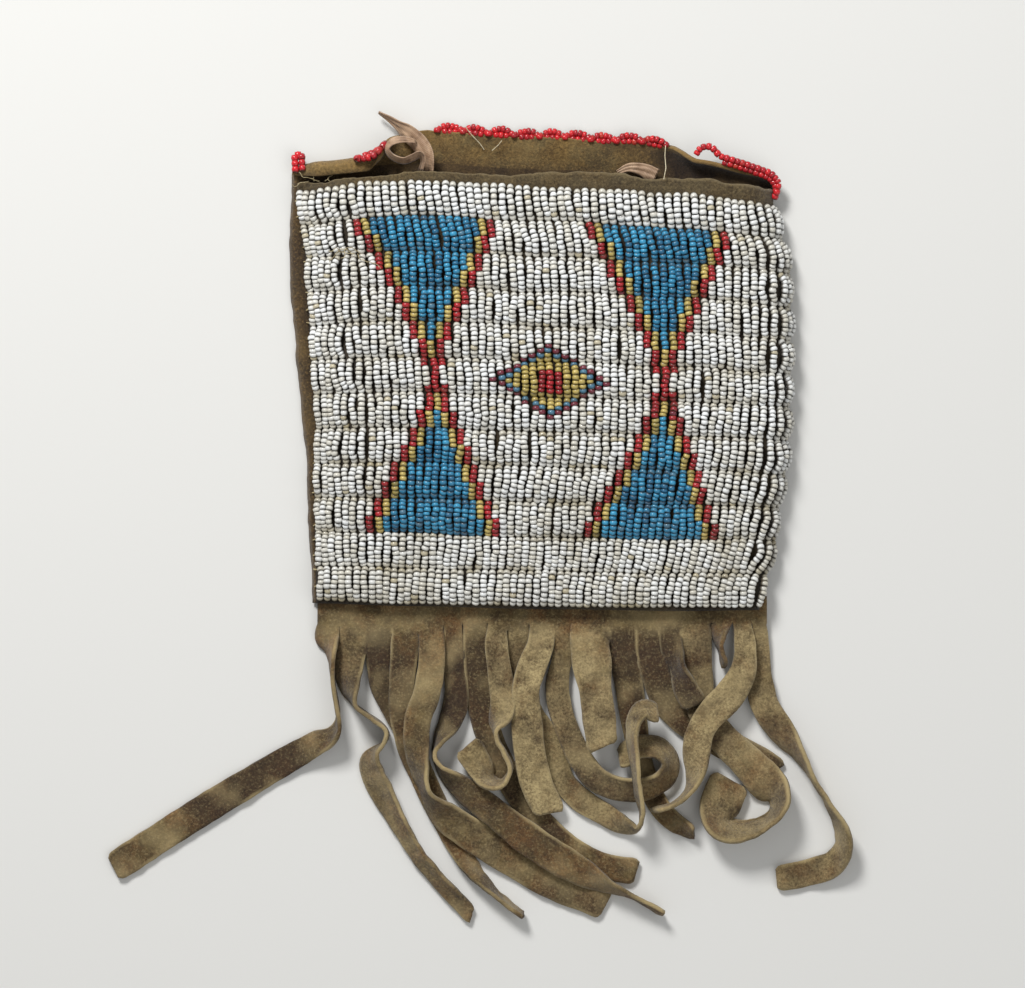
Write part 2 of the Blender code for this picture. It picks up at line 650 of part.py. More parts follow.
def add_fringe(parts):
    """A header held in the bottom seam, whose cuts become the straps."""
    bm = bmesh.new()
    level = HIDE + SEAM_GAP + HIDE / 2
    header = [
        [bm.verts.new((cut * MM, y, level)) for cut in HEADER_CUTS] for y in (HEADER_TOP_Y, HEADER_END_Y)
    ]
    for number, knots in enumerate(STRAPS):
        bm.faces.new((header[0][number], header[0][number + 1], header[1][number + 1], header[1][number]))
        left, right = header[1][number], header[1][number + 1]
        start = (left.co + right.co) / 2
        route = smooth_route([(start.x / MM, start.y / MM, start.z / MM, 0), *knots], STRAP_STEP)
        top_width = (right.co - left.co).length
        upper, lower = (part * MM for part in STRAP_WIDTHS.get(number, (STRAP_WIDTH / MM, STRAP_WIDTH / MM)))
        widens, widened = STRAP_WIDENS
        for place in range(1, len(route)):
            width = top_width + (upper - top_width) * min(place / STRAP_SHOULDER_STEPS, 1) - CUT_WIDTH
            width += (lower - upper) * eased((place / len(route) - widens) / (widened - widens))
            sides = [bm.verts.new(side) for side in strap_sides(route, place, width)]
            bm.faces.new((left, right, sides[1], sides[0]))
            left, right = sides
    bmesh.ops.recalc_face_normals(bm, faces=bm.faces)
    made = add_mesh("fringe", bm, FRINGE_HIDE, parts)
    thicken(made, HIDE)


def add_ribbon(parts):
    """A silk strip from its thin tail, through the flap, to the end of its loop."""
    bm = bmesh.new()
    route = smooth_route(RIBBON, RIBBON_STEP)
    rows = []
    for place in range(len(route)):
        width = RIBBON_WIDTH * min(RIBBON_TIP_SHARE + (1 - RIBBON_TIP_SHARE) * place / RIBBON_TIP_STEPS, 1)
        rows.append([bm.verts.new(side) for side in strap_sides(route, place, width)])
    for (left, right), (next_left, next_right) in zip(rows, rows[1:]):
        bm.faces.new((left, right, next_right, next_left))
    bmesh.ops.recalc_face_normals(bm, faces=bm.faces)
    thicken(add_mesh("ribbon_tie", bm, SILK, parts), RIBBON_THICKNESS)


def add_tube(name, points, radius, finish, parts):
    curve = bpy.data.curves.new(name, "CURVE")
    curve.dimensions = "3D"
    curve.bevel_depth = radius
    curve.bevel_resolution = 1
    curve.use_fill_caps = True
    spline = curve.splines.new("POLY")
    spline.points.add(len(points) - 1)
    for target, point in zip(spline.points, points):
        target.co = (*point, 1)
    curve.materials.append(material(finish))
    made = bpy.data.objects.new(name, curve)
    parts.objects.link(made)


def add_edge_beads(parts):
    """Red beads sewn along the flap's edge in low scallops, with a doubled string left at the far corner."""
    for name, (start, end) in EDGE_RUNS.items():
        steps = round((end - start) * MM / EDGE_STEP)
        points = []
        for step in range(steps + 1):
            x = (start + (end - start) * step / steps) * MM
            wave = abs(math.sin(math.pi * (x - start * MM) / SCALLOP))
            point = flap_point(x, 1, EDGE_NEAR + (EDGE_FAR - EDGE_NEAR) * wave)
            point.z = max(point.z, EDGE_BEAD_RADIUS + SEAM_GAP)
            points.append(point)
        add_tube(name, points, EDGE_BEAD_RADIUS, EDGE_RED, parts)
    corner = [Vector(point) * MM for point in CORNER_BEADS]
    add_tube("edge_beads_corner", corner, EDGE_BEAD_RADIUS, EDGE_RED, parts)


def clear_scene():
    for made in list(bpy.data.objects):
        bpy.data.objects.remove(made)


def build():
    clear_scene()
    parts = collection("tobacco_pouch")
    add_front_panel(parts)
    add_sheet("back_panel", BACK_COLUMNS, BACK_ROWS + FLAP_ROWS, back_point, BACK_HIDE, parts)
    add_white_ground(parts)
    for name, centre in zip(("hourglass_left", "hourglass_right"), HOURGLASS_CENTRES):
        add_hourglass(name, centre, parts)
    add_diamond(parts)
    add_edge_beads(parts)
    add_fringe(parts)
    add_ribbon(parts)


build()
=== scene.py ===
"""Looks of a beaded hide tobacco pouch that lies on its back, seen from above.

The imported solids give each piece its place. This script dresses them: seed beads threaded string by string,
smoked hide with its nap, stains and cut edges, a faded silk ribbon, and the sinew that sews it together.
"""

import logging
import math
import random
from collections.abc import Callable, Iterable, Sequence
from dataclasses import dataclass, field
from enum import Enum

import bmesh
import bpy
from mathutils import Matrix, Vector, noise


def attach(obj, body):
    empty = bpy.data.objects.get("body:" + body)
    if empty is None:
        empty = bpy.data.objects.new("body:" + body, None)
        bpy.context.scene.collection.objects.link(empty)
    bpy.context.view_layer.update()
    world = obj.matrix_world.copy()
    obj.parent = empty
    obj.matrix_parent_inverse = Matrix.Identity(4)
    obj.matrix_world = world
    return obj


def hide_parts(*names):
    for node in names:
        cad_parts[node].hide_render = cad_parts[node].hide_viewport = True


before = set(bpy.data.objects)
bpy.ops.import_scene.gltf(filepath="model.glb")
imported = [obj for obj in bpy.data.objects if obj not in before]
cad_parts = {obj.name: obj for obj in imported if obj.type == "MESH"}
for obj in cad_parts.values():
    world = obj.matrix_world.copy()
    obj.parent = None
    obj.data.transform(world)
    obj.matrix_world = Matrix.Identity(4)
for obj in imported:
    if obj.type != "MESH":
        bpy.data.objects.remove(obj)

LOG = logging.getLogger("tobacco_pouch")
MM = 0.001
BODY = "root"

Knot = tuple[float, float, float, float]
Line = tuple[tuple[float, float], ...]


# Small helpers


def linear(hex_colour: str) -> tuple[float, float, float, float]:
    """Turn an sRGB hex colour into a linear one with full alpha.

    Args:
        hex_colour: Six hex digits, with or without a leading #.

    Returns:
        Red, green, blue and alpha as the shaders take them.
    """
    digits = hex_colour.lstrip("#")
    values = [int(digits[place:place + 2], 16) / 255 for place in (0, 2, 4)]
    red, green, blue = (
        value / 12.92 if value <= 0.04045 else ((value + 0.055) / 1.055) ** 2.4 for value in values
    )
    return red, green, blue, 1.0


def eased(share: float) -> float:
    """Ease a share from 0 to 1, level at both ends."""
    share = min(max(share, 0.0), 1.0)
    return share * share * (3 - 2 * share)


def ramp(value: float, span: tuple[float, float]) -> float:
    """Ease from 0 to 1 over a span, given as its start and its width."""
    start, width = span
    return eased((value - start) / width)


def read_line(points: Line, at: float) -> float:
    """Read a line of the outline, smooth between its points.

    Args:
        points: Pairs of a place and a value, in millimetres.
        at: The place, in metres.

    Returns:
        The value there, in metres.
    """
    place = at / MM
    if place <= points[0][0]:
        return points[0][1] * MM
    for (x0, y0), (x1, y1) in zip(points, points[1:]):
        if place <= x1:
            return (y0 + (y1 - y0) * eased((place - x0) / (x1 - x0))) * MM
    return points[-1][1] * MM


def ripple(x: float, y: float, z: float, size: float, octaves: int = 2) -> float:
    """Smooth noise between about -1 and 1 at a place, with bumps of a size; z can tell its uses apart."""
    return noise.fractal(Vector((x, y, z)) / size, 1.0, 2.0, octaves)


def smooth_route(knots: Sequence[Knot], step: float) -> list[Vector]:
    """Points along a smooth curve through the knots, as the solids' own routes have them.

    Args:
        knots: X, y and z in millimetres and a turn in degrees, for each knot.
        step: Distance from point to point, in metres.

    Returns:
        Vectors of x, y and z in metres and a turn in radians.
    """
    placed = [Vector((x * MM, y * MM, z * MM, math.radians(turn))) for x, y, z, turn in knots]
    route: list[Vector] = []
    padded = [2 * placed[0] - placed[1], *placed, 2 * placed[-1] - placed[-2]]
    for before, start, end, after in zip(padded, padded[1:], padded[2:], padded[3:]):
        count = max(1, round((end - start).xyz.length / step))
        slope = (end - before) / 2
        bend = before - (5 * start - 4 * end + after) / 2
        twist = (3 * (start - end) - before + after) / 2
        for number in range(count):
            share = number / count
            route.append(start + slope * share + bend * share**2 + twist * share**3)
    return [*route, placed[-1]]


def strip_frame(route: Sequence[Vector], place: int) -> tuple[Vector, Vector, Vector]:
    """The directions along a strip, across it and out of it.

    Args:
        route: Its middle line, each point with a turn in radians.
        place: Which point.

    Returns:
        The three directions there.
    """
    ahead = (route[min(place + 1, len(route) - 1)] - route[max(place - 1, 0)]).xyz.normalized()
    side = Vector((-ahead.y, ahead.x, 0)).normalized()
    turn = route[place][3]
    across = side * math.cos(turn) + Vector((0, 0, math.sin(turn)))
    return ahead, across, ahead.cross(across)


def mesh_object(name: str, bm: bmesh.types.BMesh, finish: bpy.types.Material) -> bpy.types.Object:
    """Make an object of a bmesh, smooth shaded, with one material.

    Args:
        name: The piece's name.
        bm: Its mesh, which is freed.
        finish: Its material.

    Returns:
        The new object, at the origin.
    """
    mesh = bpy.data.meshes.new(name)
    bm.to_mesh(mesh)
    bm.free()
    mesh.shade_smooth()
    mesh.materials.append(finish)
    made = bpy.data.objects.new(name, mesh)
    bpy.context.scene.collection.objects.link(made)
    return made


def settled(made: bpy.types.Object) -> bpy.types.Object:
    """Turn an object with modifiers into a plain mesh of the same name.

    Args:
        made: The object, whose modifiers are applied and removed.

    Returns:
        A plain object in its place.
    """
    graph = bpy.context.evaluated_depsgraph_get()
    mesh = bpy.data.meshes.new_from_object(made.evaluated_get(graph), depsgraph=graph)
    name = made.name
    old = made.data
    bpy.data.objects.remove(made)
    if old.users == 0 and isinstance(old, bpy.types.Mesh):
        bpy.data.meshes.remove(old)
    plain = bpy.data.objects.new(name, mesh)
    bpy.context.scene.collection.objects.link(plain)
    return plain


def dress(piece: bpy.types.Object, nodes: Iterable[str] = ()) -> bpy.types.Object:
    """Give a piece its body and the solids that it stands for.

    Args:
        piece: The finished piece.
        nodes: The solids that it replaces.

    Returns:
        The same piece.
    """
    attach(piece, BODY)
    replaced = list(nodes)
    if replaced:
        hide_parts(*replaced)
    triangles = sum(len(face.vertices) - 2 for face in piece.data.polygons)
    LOG.info("%s: %d triangles, stands for %s", piece.name, triangles, ", ".join(replaced) or "no solid")
    return piece


# Finishes


class NodeTree:
    """A node tree under construction, with one way to add a node."""

    def __init__(self, tree: bpy.types.NodeTree) -> None:
        """Wrap a tree and clear it."""
        self.tree = tree
        tree.nodes.clear()

    def add(self, kind: str, inputs: dict | None = None, **settings: object) -> bpy.types.Node:
        """Add a node with its settings and links.

        Args:
            kind: The node's type.
            inputs: For each input socket, by name or number, a value, or the node or output socket
                that feeds it.
            **settings: Attributes of the node itself.

        Returns:
            The node.
        """
        node = self.tree.nodes.new(kind)
        for key, value in settings.items():
            setattr(node, key, value)
        for key, value in (inputs or {}).items():
            source = value.outputs[0] if isinstance(value, bpy.types.Node) else value
            if isinstance(source, bpy.types.NodeSocket):
                self.tree.links.new(source, node.inputs[key])
            else:
                node.inputs[key].default_value = source
        return node


@dataclass(frozen=True)
class Reading:
    """A number that changes over a surface: a noise or a mark on the mesh, taken from one range to another.

    Its source is the width of the noise's bumps in metres, or the name of the mark. It is held at both ends
    of the range, unless it is read as it is.
    """

    source: float | str
    low: float = 0.0
    high: float = 1.0
    least: float = 0.0
    most: float = 1.0
    detail: float = 3.0
    roughness: float = 0.55
    held: bool = True


@dataclass(frozen=True)
class Layer:
    """One colour over those below it, as strong as one reading, or two multiplied, say."""

    colour: str
    share: Reading
    times: Reading | None = None
    blend: str = "MIX"


class Surface(NodeTree):
    """A material's node tree, whose colour is laid on in layers."""

    def __init__(self, name: str) -> None:
        """Start a material of this name."""
        self.material = bpy.data.materials.new(name)
        self.material.use_nodes = True
        super().__init__(self.material.node_tree)
        self.place = self.add("ShaderNodeTexCoord").outputs["Object"]

    def read(self, reading: Reading) -> bpy.types.Node:
        """Add one reading.

        Args:
            reading: What is read, and the range that it is taken to.

        Returns:
            The node whose first output is the number.
        """
        if isinstance(reading.source, str):
            given = self.add("ShaderNodeAttribute", attribute_name=reading.source).outputs["Fac"]
        else:
            bumps = {"Scale": 1 / reading.source, "Detail": reading.detail, "Roughness": reading.roughness}
            given = self.add("ShaderNodeTexNoise", {"Vector": self.place, **bumps})
        taken = {"Value": given, "From Min": reading.low, "From Max": reading.high}
        made = {"To Min": reading.least, "To Max": reading.most}
        return self.add("ShaderNodeMapRange", {**taken, **made}, clamp=reading.held)

    def coloured(self, ground: str, layers: Iterable[Layer]) -> bpy.types.NodeSocket:
        """Lay colours over a ground.

        Args:
            ground: The ground's hex colour.
            layers: The layers, from the lowest.

        Returns:
            The socket of the colour that shows.
        """
        laid = linear(ground)
        for layer in layers:
            share = self.read(layer.share)
            if layer.times:
                shares = {0: share, 1: self.read(layer.times)}
                share = self.add("ShaderNodeMath", shares, operation="MULTIPLY")
            mix = {0: share, 6: laid, 7: linear(layer.colour)}
            laid = self.add("ShaderNodeMix", mix, data_type="RGBA", blend_type=layer.blend).outputs[2]
        return laid

    def shaded(self, inputs: dict) -> bpy.types.Material:
        """Close the tree with its shader.

        Args:
            inputs: The shader's inputs, as for a node.

        Returns:
            The finished material.
        """
        shader = self.add("ShaderNodeBsdfPrincipled", inputs)
        self.add("ShaderNodeOutputMaterial", {"Surface": shader})
        return self.material


@dataclass(frozen=True)
class GlassFinish:
    """Tumbled soda-lime glass beads: opaque, smooth and glossy, with soil and painted shade between them and
    on their low sides.
    """

    name: str
    slot: str
    fresh: str
    aged: str
    odd: str
    film: str = "#453a2a"
    grime_and_shade: str = "#453a2a"
    roughness: float = 0.22
    smoothest: float = -0.06
    dullest: float = 0.2
    polish_size: float = 0.7 * MM
    joint_shade_and_soil: float = 0.6
    low_shade_and_soil: float = 0.9
    film_least: float = 0.04
    film_most: float = 0.3
    soil_size: float = 9 * MM
    glass_ior: float = 1.52

    def layers(self) -> tuple[Layer, ...]:
        """Each bead's own tint, a film of soil, and grime mixed with painted shade on its low side and at its
        ends.

        Returns:
            The layers over the ground, from the lowest.
        """
        return (
            Layer(self.aged, Reading("tint", 0.15, 0.8)),
            Layer(self.odd, Reading("tint", 0.9, 0.97)),
            # A film of soil, which on the beads beside the stitches is partly painted shade
            Layer(
                self.film,
                Reading(self.soil_size, 0.3, 0.7, self.film_least, self.film_most),
                times=Reading("soil", held=False),
            ),
            # Painted shade with some grime on each bead's low side, where it turns towards the hide
            Layer(self.grime_and_shade, Reading("rise", 0.55, -0.1, 0.0, self.low_shade_and_soil)),
            # Painted shade with some soil at each bead's ends, where it meets the next
            Layer(self.grime_and_shade, Reading("end", 0.6, 1.0, 0.0, self.joint_shade_and_soil)),
        )

    def material(self) -> bpy.types.Material:
        """Make the material, a little more polished in some places than in others.

        Returns:
            The material.
        """
        surface = Surface(self.name)
        smooth, dull = self.roughness + self.smoothest, self.roughness + self.dullest
        return surface.shaded({
            "Base Color": surface.coloured(self.fresh, self.layers()),
            "Roughness": surface.read(Reading(self.polish_size, 0.3, 0.8, smooth, dull)),
            "IOR": self.glass_ior,
            "Metallic": 0.0,
        })


@dataclass(frozen=True)
class HideFinish:
    """Brain-tanned, smoked deer hide: napped and matt, darker where hands and tobacco soiled it, and with
    painted shade where its mesh marks it.
    """

    name: str
    slot: str
    ground: str
    shade: str
    stain_and_shade: str
    edge: str
    warm: str
    mottle_size: float = 2.2 * MM
    warm_size: float = 7 * MM
    warm_most: float = 0.7
    stain_size: float = 14 * MM
    stain_from: float = 0.5
    stain_fade: float = 0.2
    stain_most: float = 0.85
    bleach_size: float = 4.5 * MM
    # The nap's fibres are drawn about twice as coarse as real ones, so that they show
    nap: float = 0.55 * MM
    nap_depth: float = 0.3 * MM
    nap_dark: float = 0.8
    pile_size: float = 0.6 * MM
    nap_pale: float = 0.5
    broad_size: float = 8.0 * MM
    broad_pale: float = 0.2
    broad_dark: float = 0.25
    worn_edge: float = 0.75
    grain_size: float = 1.6 * MM
    grain_height: float = 0.6
    roughness: float = 0.95
    gloss: float = 0.15
    sheen: float = 0.18
    sheen_roughness: float = 0.6

    def layers(self) -> tuple[Layer, ...]:
        """Mottled ground, stained patches and marked painted shade, bleached places, then the nap, broad
        patches and pale cut edges.

        Returns:
            The layers over the ground, from the lowest.
        """
        blotted = self.stain_from + self.stain_fade
        return (
            Layer(self.shade, Reading(self.mottle_size, 0.38, 0.64, detail=8.0, roughness=0.72)),
            Layer(self.warm, Reading(self.warm_size, 0.44, 0.62, 0.0, self.warm_most, 6.0, 0.65)),
            Layer(
                self.stain_and_shade,
                Reading(self.stain_size, self.stain_from, blotted, 0.0, self.stain_most, 7.0, 0.65),
            ),
            # The mesh's mark: brown stains, and painted shade under the beads, inside the pouch, on the flap
            # and on straps that pass under others
            Layer(self.stain_and_shade, Reading("stain_and_shade")),
            Layer(
                self.edge,
                Reading(self.bleach_size, 0.36, 0.6, detail=8.0, roughness=0.7),
                times=Reading("pale", held=False),
            ),
            Layer(self.shade, Reading(self.nap, 0.36, 0.6, self.nap_dark, 0.0, 6.0, 0.75), blend="MULTIPLY"),
            # Where the hide is stained through its pale pile is worn away, and under painted shade it is left
            # off too
            Layer(
                self.edge,
                Reading(self.pile_size, 0.5, 0.72, 0.0, self.nap_pale, 5.0, 0.7),
                times=Reading("stain_and_shade", 0.6, 1.0, 1.0, 0.1),
            ),
            Layer(self.edge, Reading(self.broad_size, 0.46, 0.78, 0.0, self.broad_pale, 2.0, 0.4)),
            Layer(self.stain_and_shade, Reading(self.broad_size, 0.24, 0.5, self.broad_dark, 0.0, 2.0, 0.4)),
            Layer(self.edge, Reading("edge", 0.1, 1.0, 0.0, self.worn_edge)),
        )

    def material(self) -> bpy.types.Material:
        """Make the material: its colours over a grain with a short nap.

        Returns:
            The material.
        """
        surface = Surface(self.name)
        fibres = surface.read(Reading(self.nap, detail=6.0, roughness=0.75, held=False))
        grain = surface.read(Reading(self.grain_size, roughness=0.6, held=False))
        height = surface.add(
            "ShaderNodeMath", {0: grain, 1: self.grain_height, 2: fibres}, operation="MULTIPLY_ADD"
        )
        bump = surface.add(
            "ShaderNodeBump", {"Strength": 1.0, "Distance": self.nap_depth, "Height": height}
        )
        return surface.shaded({
            "Base Color": surface.coloured(self.ground, self.layers()),
            "Roughness": self.roughness,
            "Specular IOR Level": self.gloss,
            "Sheen Weight": self.sheen,
            "Sheen Roughness": self.sheen_roughness,
            "Normal": bump,
        })


@dataclass(frozen=True)
class SilkFinish:
    """Old silk ribbon, dyed pink and faded: fine ribs across it, a soft sheen and soil in its folds."""

    name: str = "faded_silk_ribbon"
    slot: str = "silk"
    ground: str = "#95775d"
    worn: str = "#b5977a"
    soiled: str = "#543c2c"
    fading_size: float = 2.5 * MM
    soil_size: float = 1.8 * MM
    soil_most: float = 0.8
    # The ribs are drawn about twice as coarse as real ones, so that they show
    rib: float = 0.35 * MM
    rib_depth: float = 0.03 * MM
    rib_strength: float = 0.6
    roughness: float = 0.55
    sheen: float = 0.3
    sheen_roughness: float = 0.4

    def material(self) -> bpy.types.Material:
        """Make the material: fading and soil over ribs that cross the ribbon.

        Returns:
            The material.
        """
        surface = Surface(self.name)
        layers = (
            Layer(self.worn, Reading(self.fading_size, 0.35, 0.65)),
            Layer(self.soiled, Reading(self.soil_size, 0.52, 0.75, 0.0, self.soil_most, 4.0)),
        )
        length = surface.add("ShaderNodeSeparateXYZ", {0: surface.add("ShaderNodeUVMap")})
        phase = surface.add("ShaderNodeMath", {0: length, 1: math.tau / self.rib}, operation="MULTIPLY")
        ribs = surface.add("ShaderNodeMath", {0: phase}, operation="SINE")
        bump = surface.add(
            "ShaderNodeBump", {"Strength": self.rib_strength, "Distance": self.rib_depth, "Height": ribs}
        )
        return surface.shaded({
            "Base Color": surface.coloured(self.ground, layers),
            "Roughness": self.roughness,
            "Sheen Weight": self.sheen,
            "Sheen Roughness": self.sheen_roughness,
            "Normal": bump,
        })


@dataclass(frozen=True)
class ThreadFinish:
    """Dried sinew or cotton thread: slightly shiny, in a pale and a dark tone."""

    name: str
    slot: str
    pale: str
    dark: str
    fibre: float = 0.4 * MM
    roughness: float = 0.5

    def material(self) -> bpy.types.Material:
        """Make the material: two tones along the thread.

        Returns:
            The material.
        """
        surface = Surface(self.name)
        layer = Layer(self.dark, Reading(self.fibre, 0.35, 0.65))
        colour = surface.coloured(self.pale, [layer])
        return surface.shaded({"Base Color": colour, "Roughness": self.roughness})


WHITE_GLASS = GlassFinish(
    "white_glass_beads", "white_beads", "#f0f2f2", "#d8d5ca", "#c2b9a0", film="#8d8160", grime_and_shade="#3a3022",
    film_most=0.36,
)
BLUE_GLASS = GlassFinish("turquoise_glass_beads", "blue_beads", "#3a98c0", "#1f6488", "#4b7890")
YELLOW_GLASS = GlassFinish("ochre_glass_beads", "yellow_beads", "#cdb66a", "#a59452", "#8a7f48")
RED_GLASS = GlassFinish("red_glass_beads", "red_beads", "#b3222d", "#8c2029", "#702b39")
EDGE_GLASS = GlassFinish(
    "bright_red_edge_beads", "edge_red_beads", "#d0202a", "#a81c28", "#c03a2c",
    roughness=0.14, joint_shade_and_soil=0.25,
)
FRONT_HIDE = HideFinish(
    "smoked_hide_front", "front_hide", ground="#67583b", shade="#4e422d", stain_and_shade="#2e2417", edge="#8c7a56",
    warm="#6f5a36",
)
BACK_HIDE = HideFinish(
    "smoked_hide_back", "back_hide", ground="#7f6c44", shade="#5c4b2c", stain_and_shade="#33251b", edge="#a6854e",
    warm="#8a6a34",
)
FRINGE_HIDE = HideFinish(
    "fringe_hide", "fringe_hide", ground="#76633c", shade="#4b3a22", stain_and_shade="#38271a", edge="#b8a476",
    warm="#7c5730", stain_size=11 * MM, stain_from=0.48, stain_most=0.7, nap_dark=0.75, nap_pale=0.42,
    broad_pale=0.45, broad_dark=0.36,
)
SILK = SilkFinish()
SINEW = ThreadFinish("dried_sinew", "front_hide", "#c2b48c", "#82704c")
COTTON = ThreadFinish("pale_cotton_thread", "back_hide", "#d8cdb0", "#ab9c7c")


# The pouch's own surfaces, with the same sizes as its solids


@dataclass(frozen=True)
class PouchForm:
    """Where the hide lies: panels, lanes, mouth and flap, as the solids have them."""

    hide: float = 1.0 * MM
    seam_gap: float = 0.3 * MM
    cavity_height: float = 5.5 * MM
    bulge_power: int = 4
    left_rise: float = 13.0 * MM
    rim_lanes: float = 0.47
    hem_lanes: float = 0.08
    seam_lift_start: float = 1.4
    seam_lift_lanes: float = 0.6
    back_margin: float = 0.4 * MM
    mouth_clearance: float = 0.5 * MM
    lanes: int = 12
    lane_length: float = 7.9 * MM
    strings: int = 60
    least_turn: float = 0.01
    front_left: Line = ((-47, -52.3), (-20, -52.6), (-8, -52.2), (15, -53.8), (30, -54.6), (46, -56.6))
    front_right: Line = ((-47, 47.2), (-30, 50.0), (-10, 52.6), (10, 53.4), (30, 53.0), (45, 50.4))
    back_left: Line = ((-47, -52.8), (-20, -54.0), (10, -56.6), (30, -58.2), (50, -57.6))
    beads_top: Line = ((-57, 46.2), (-30, 48.1), (0, 46.6), (30, 45.0), (55, 42.4))
    beads_bottom: Line = ((-53, -46.3), (-30, -46.9), (0, -47.6), (30, -48.0), (50, -47.8))
    flap_turn: Line = (
        (-58, 150), (-46, 150), (-40, 125), (-32, 5), (12, 8), (20, 20), (27, 42), (34, 95), (52, 95),
    )
    flap_reach: Line = (
        (-58, 2.6), (-54, 3.4), (-50, 5.2), (-46, 6.3), (-34, 6.5), (-28, 7.5), (0, 7.5), (12, 7.2),
        (20, 7.8), (27, 7.6), (34, 6.0), (46, 4.5), (52, 3.2),
    )

    def lane_y(self, x: float, lanes: float) -> float:
        """The Y of a place so many lanes down from the top of the beadwork."""
        top = read_line(self.beads_top, x)
        return top + (read_line(self.beads_bottom, x) - top) * lanes / self.lanes

    def bulge(self, lanes: float) -> float:
        """How far the front stands off the back at this lane."""
        fall = (max(lanes, 0) / self.lanes) ** self.bulge_power
        return max(self.cavity_height * (1 - fall), self.hide)

    def seam_lift(self, lanes: float) -> float:
        """How far the front rises over the fringe's top edge."""
        share = (lanes - self.lanes + self.seam_lift_start) / self.seam_lift_lanes
        return (self.hide + self.seam_gap) * eased(share)

    def front_point(self, share: float, lanes: float, height: float = 0.0) -> Vector:
        """A point on the front's middle surface, or so high above it.

        Args:
            share: From 0 at its left edge to 1 at its right.
            lanes: Lanes down from the top of the beadwork.
            height: Distance out from the middle surface.

        Returns:
            The point.
        """
        nominal_y = self.lane_y(0, lanes)
        left, right = read_line(self.front_left, nominal_y), read_line(self.front_right, nominal_y)
        rise = self.bulge(lanes)
        turn = rise + self.hide / 2
        slope_length = math.hypot(self.left_rise, rise)
        flat_length = right - left - self.left_rise - turn
        along = share * (slope_length + flat_length + turn * math.pi / 2)
        base = self.hide + self.seam_gap + self.seam_lift(lanes)
        if along < slope_length:
            part = along / slope_length
            steep = math.atan2(rise * 6 * part * (1 - part), self.left_rise)
            x, z = left + self.left_rise * part, base + self.hide / 2 + rise * eased(part)
            across, up = -math.sin(steep), math.cos(steep)
        else:
            angle = max(along - slope_length - flat_length, 0) / turn
            x = left + self.left_rise + min(along - slope_length, flat_length) + turn * math.sin(angle)
            z = base + turn * math.cos(angle)
            across, up = math.sin(angle), math.cos(angle)
        x += across * height
        return Vector((x, self.lane_y(x, lanes), z + up * height))

    def mouth_y(self, x: float) -> float:
        """The Y of the line where the flap leaves the mouth."""
        return self.lane_y(x, -self.rim_lanes) + self.mouth_clearance

    def flap_point(self, x: float, share: float, beyond: float = 0.0) -> Vector:
        """A point on the flap's middle surface.

        Args:
            x: Place across the pouch.
            share: From 0 at the mouth line to 1 at the flap's edge.
            beyond: Distance past that, straight on.

        Returns:
            The point.
        """
        turn = max(math.radians(read_line(self.flap_turn, x) / MM), self.least_turn)
        radius = read_line(self.flap_reach, x) / turn
        angle = turn * share
        along, out = math.cos(angle), math.sin(angle)
        y = self.mouth_y(x) + radius * out + beyond * along
        z = self.hide / 2 + radius * (1 - along) + beyond * out
        return Vector((x, y, z))

    def back_edge(self, share: float) -> tuple[float, float]:
        """The back panel's left and right X so far up from the bottom seam to the mouth line."""
        bottom = self.lane_y(0, self.lanes + self.hem_lanes)
        nominal_y = bottom + (self.mouth_y(0) - bottom) * share
        return read_line(self.back_left, nominal_y), read_line(self.front_right, nominal_y) + self.back_margin


# Beadwork


class BeadColour(Enum):
    """The colours of glass that the pattern is threaded in."""

    WHITE = "white"
    BLUE = "blue"
    YELLOW = "yellow"
    RED = "red"


@dataclass
class Bead:
    """One bead on its thread."""

    centre: Vector
    along: Vector
    up: Vector
    width: float
    length: float
    tint: float
    soil: float


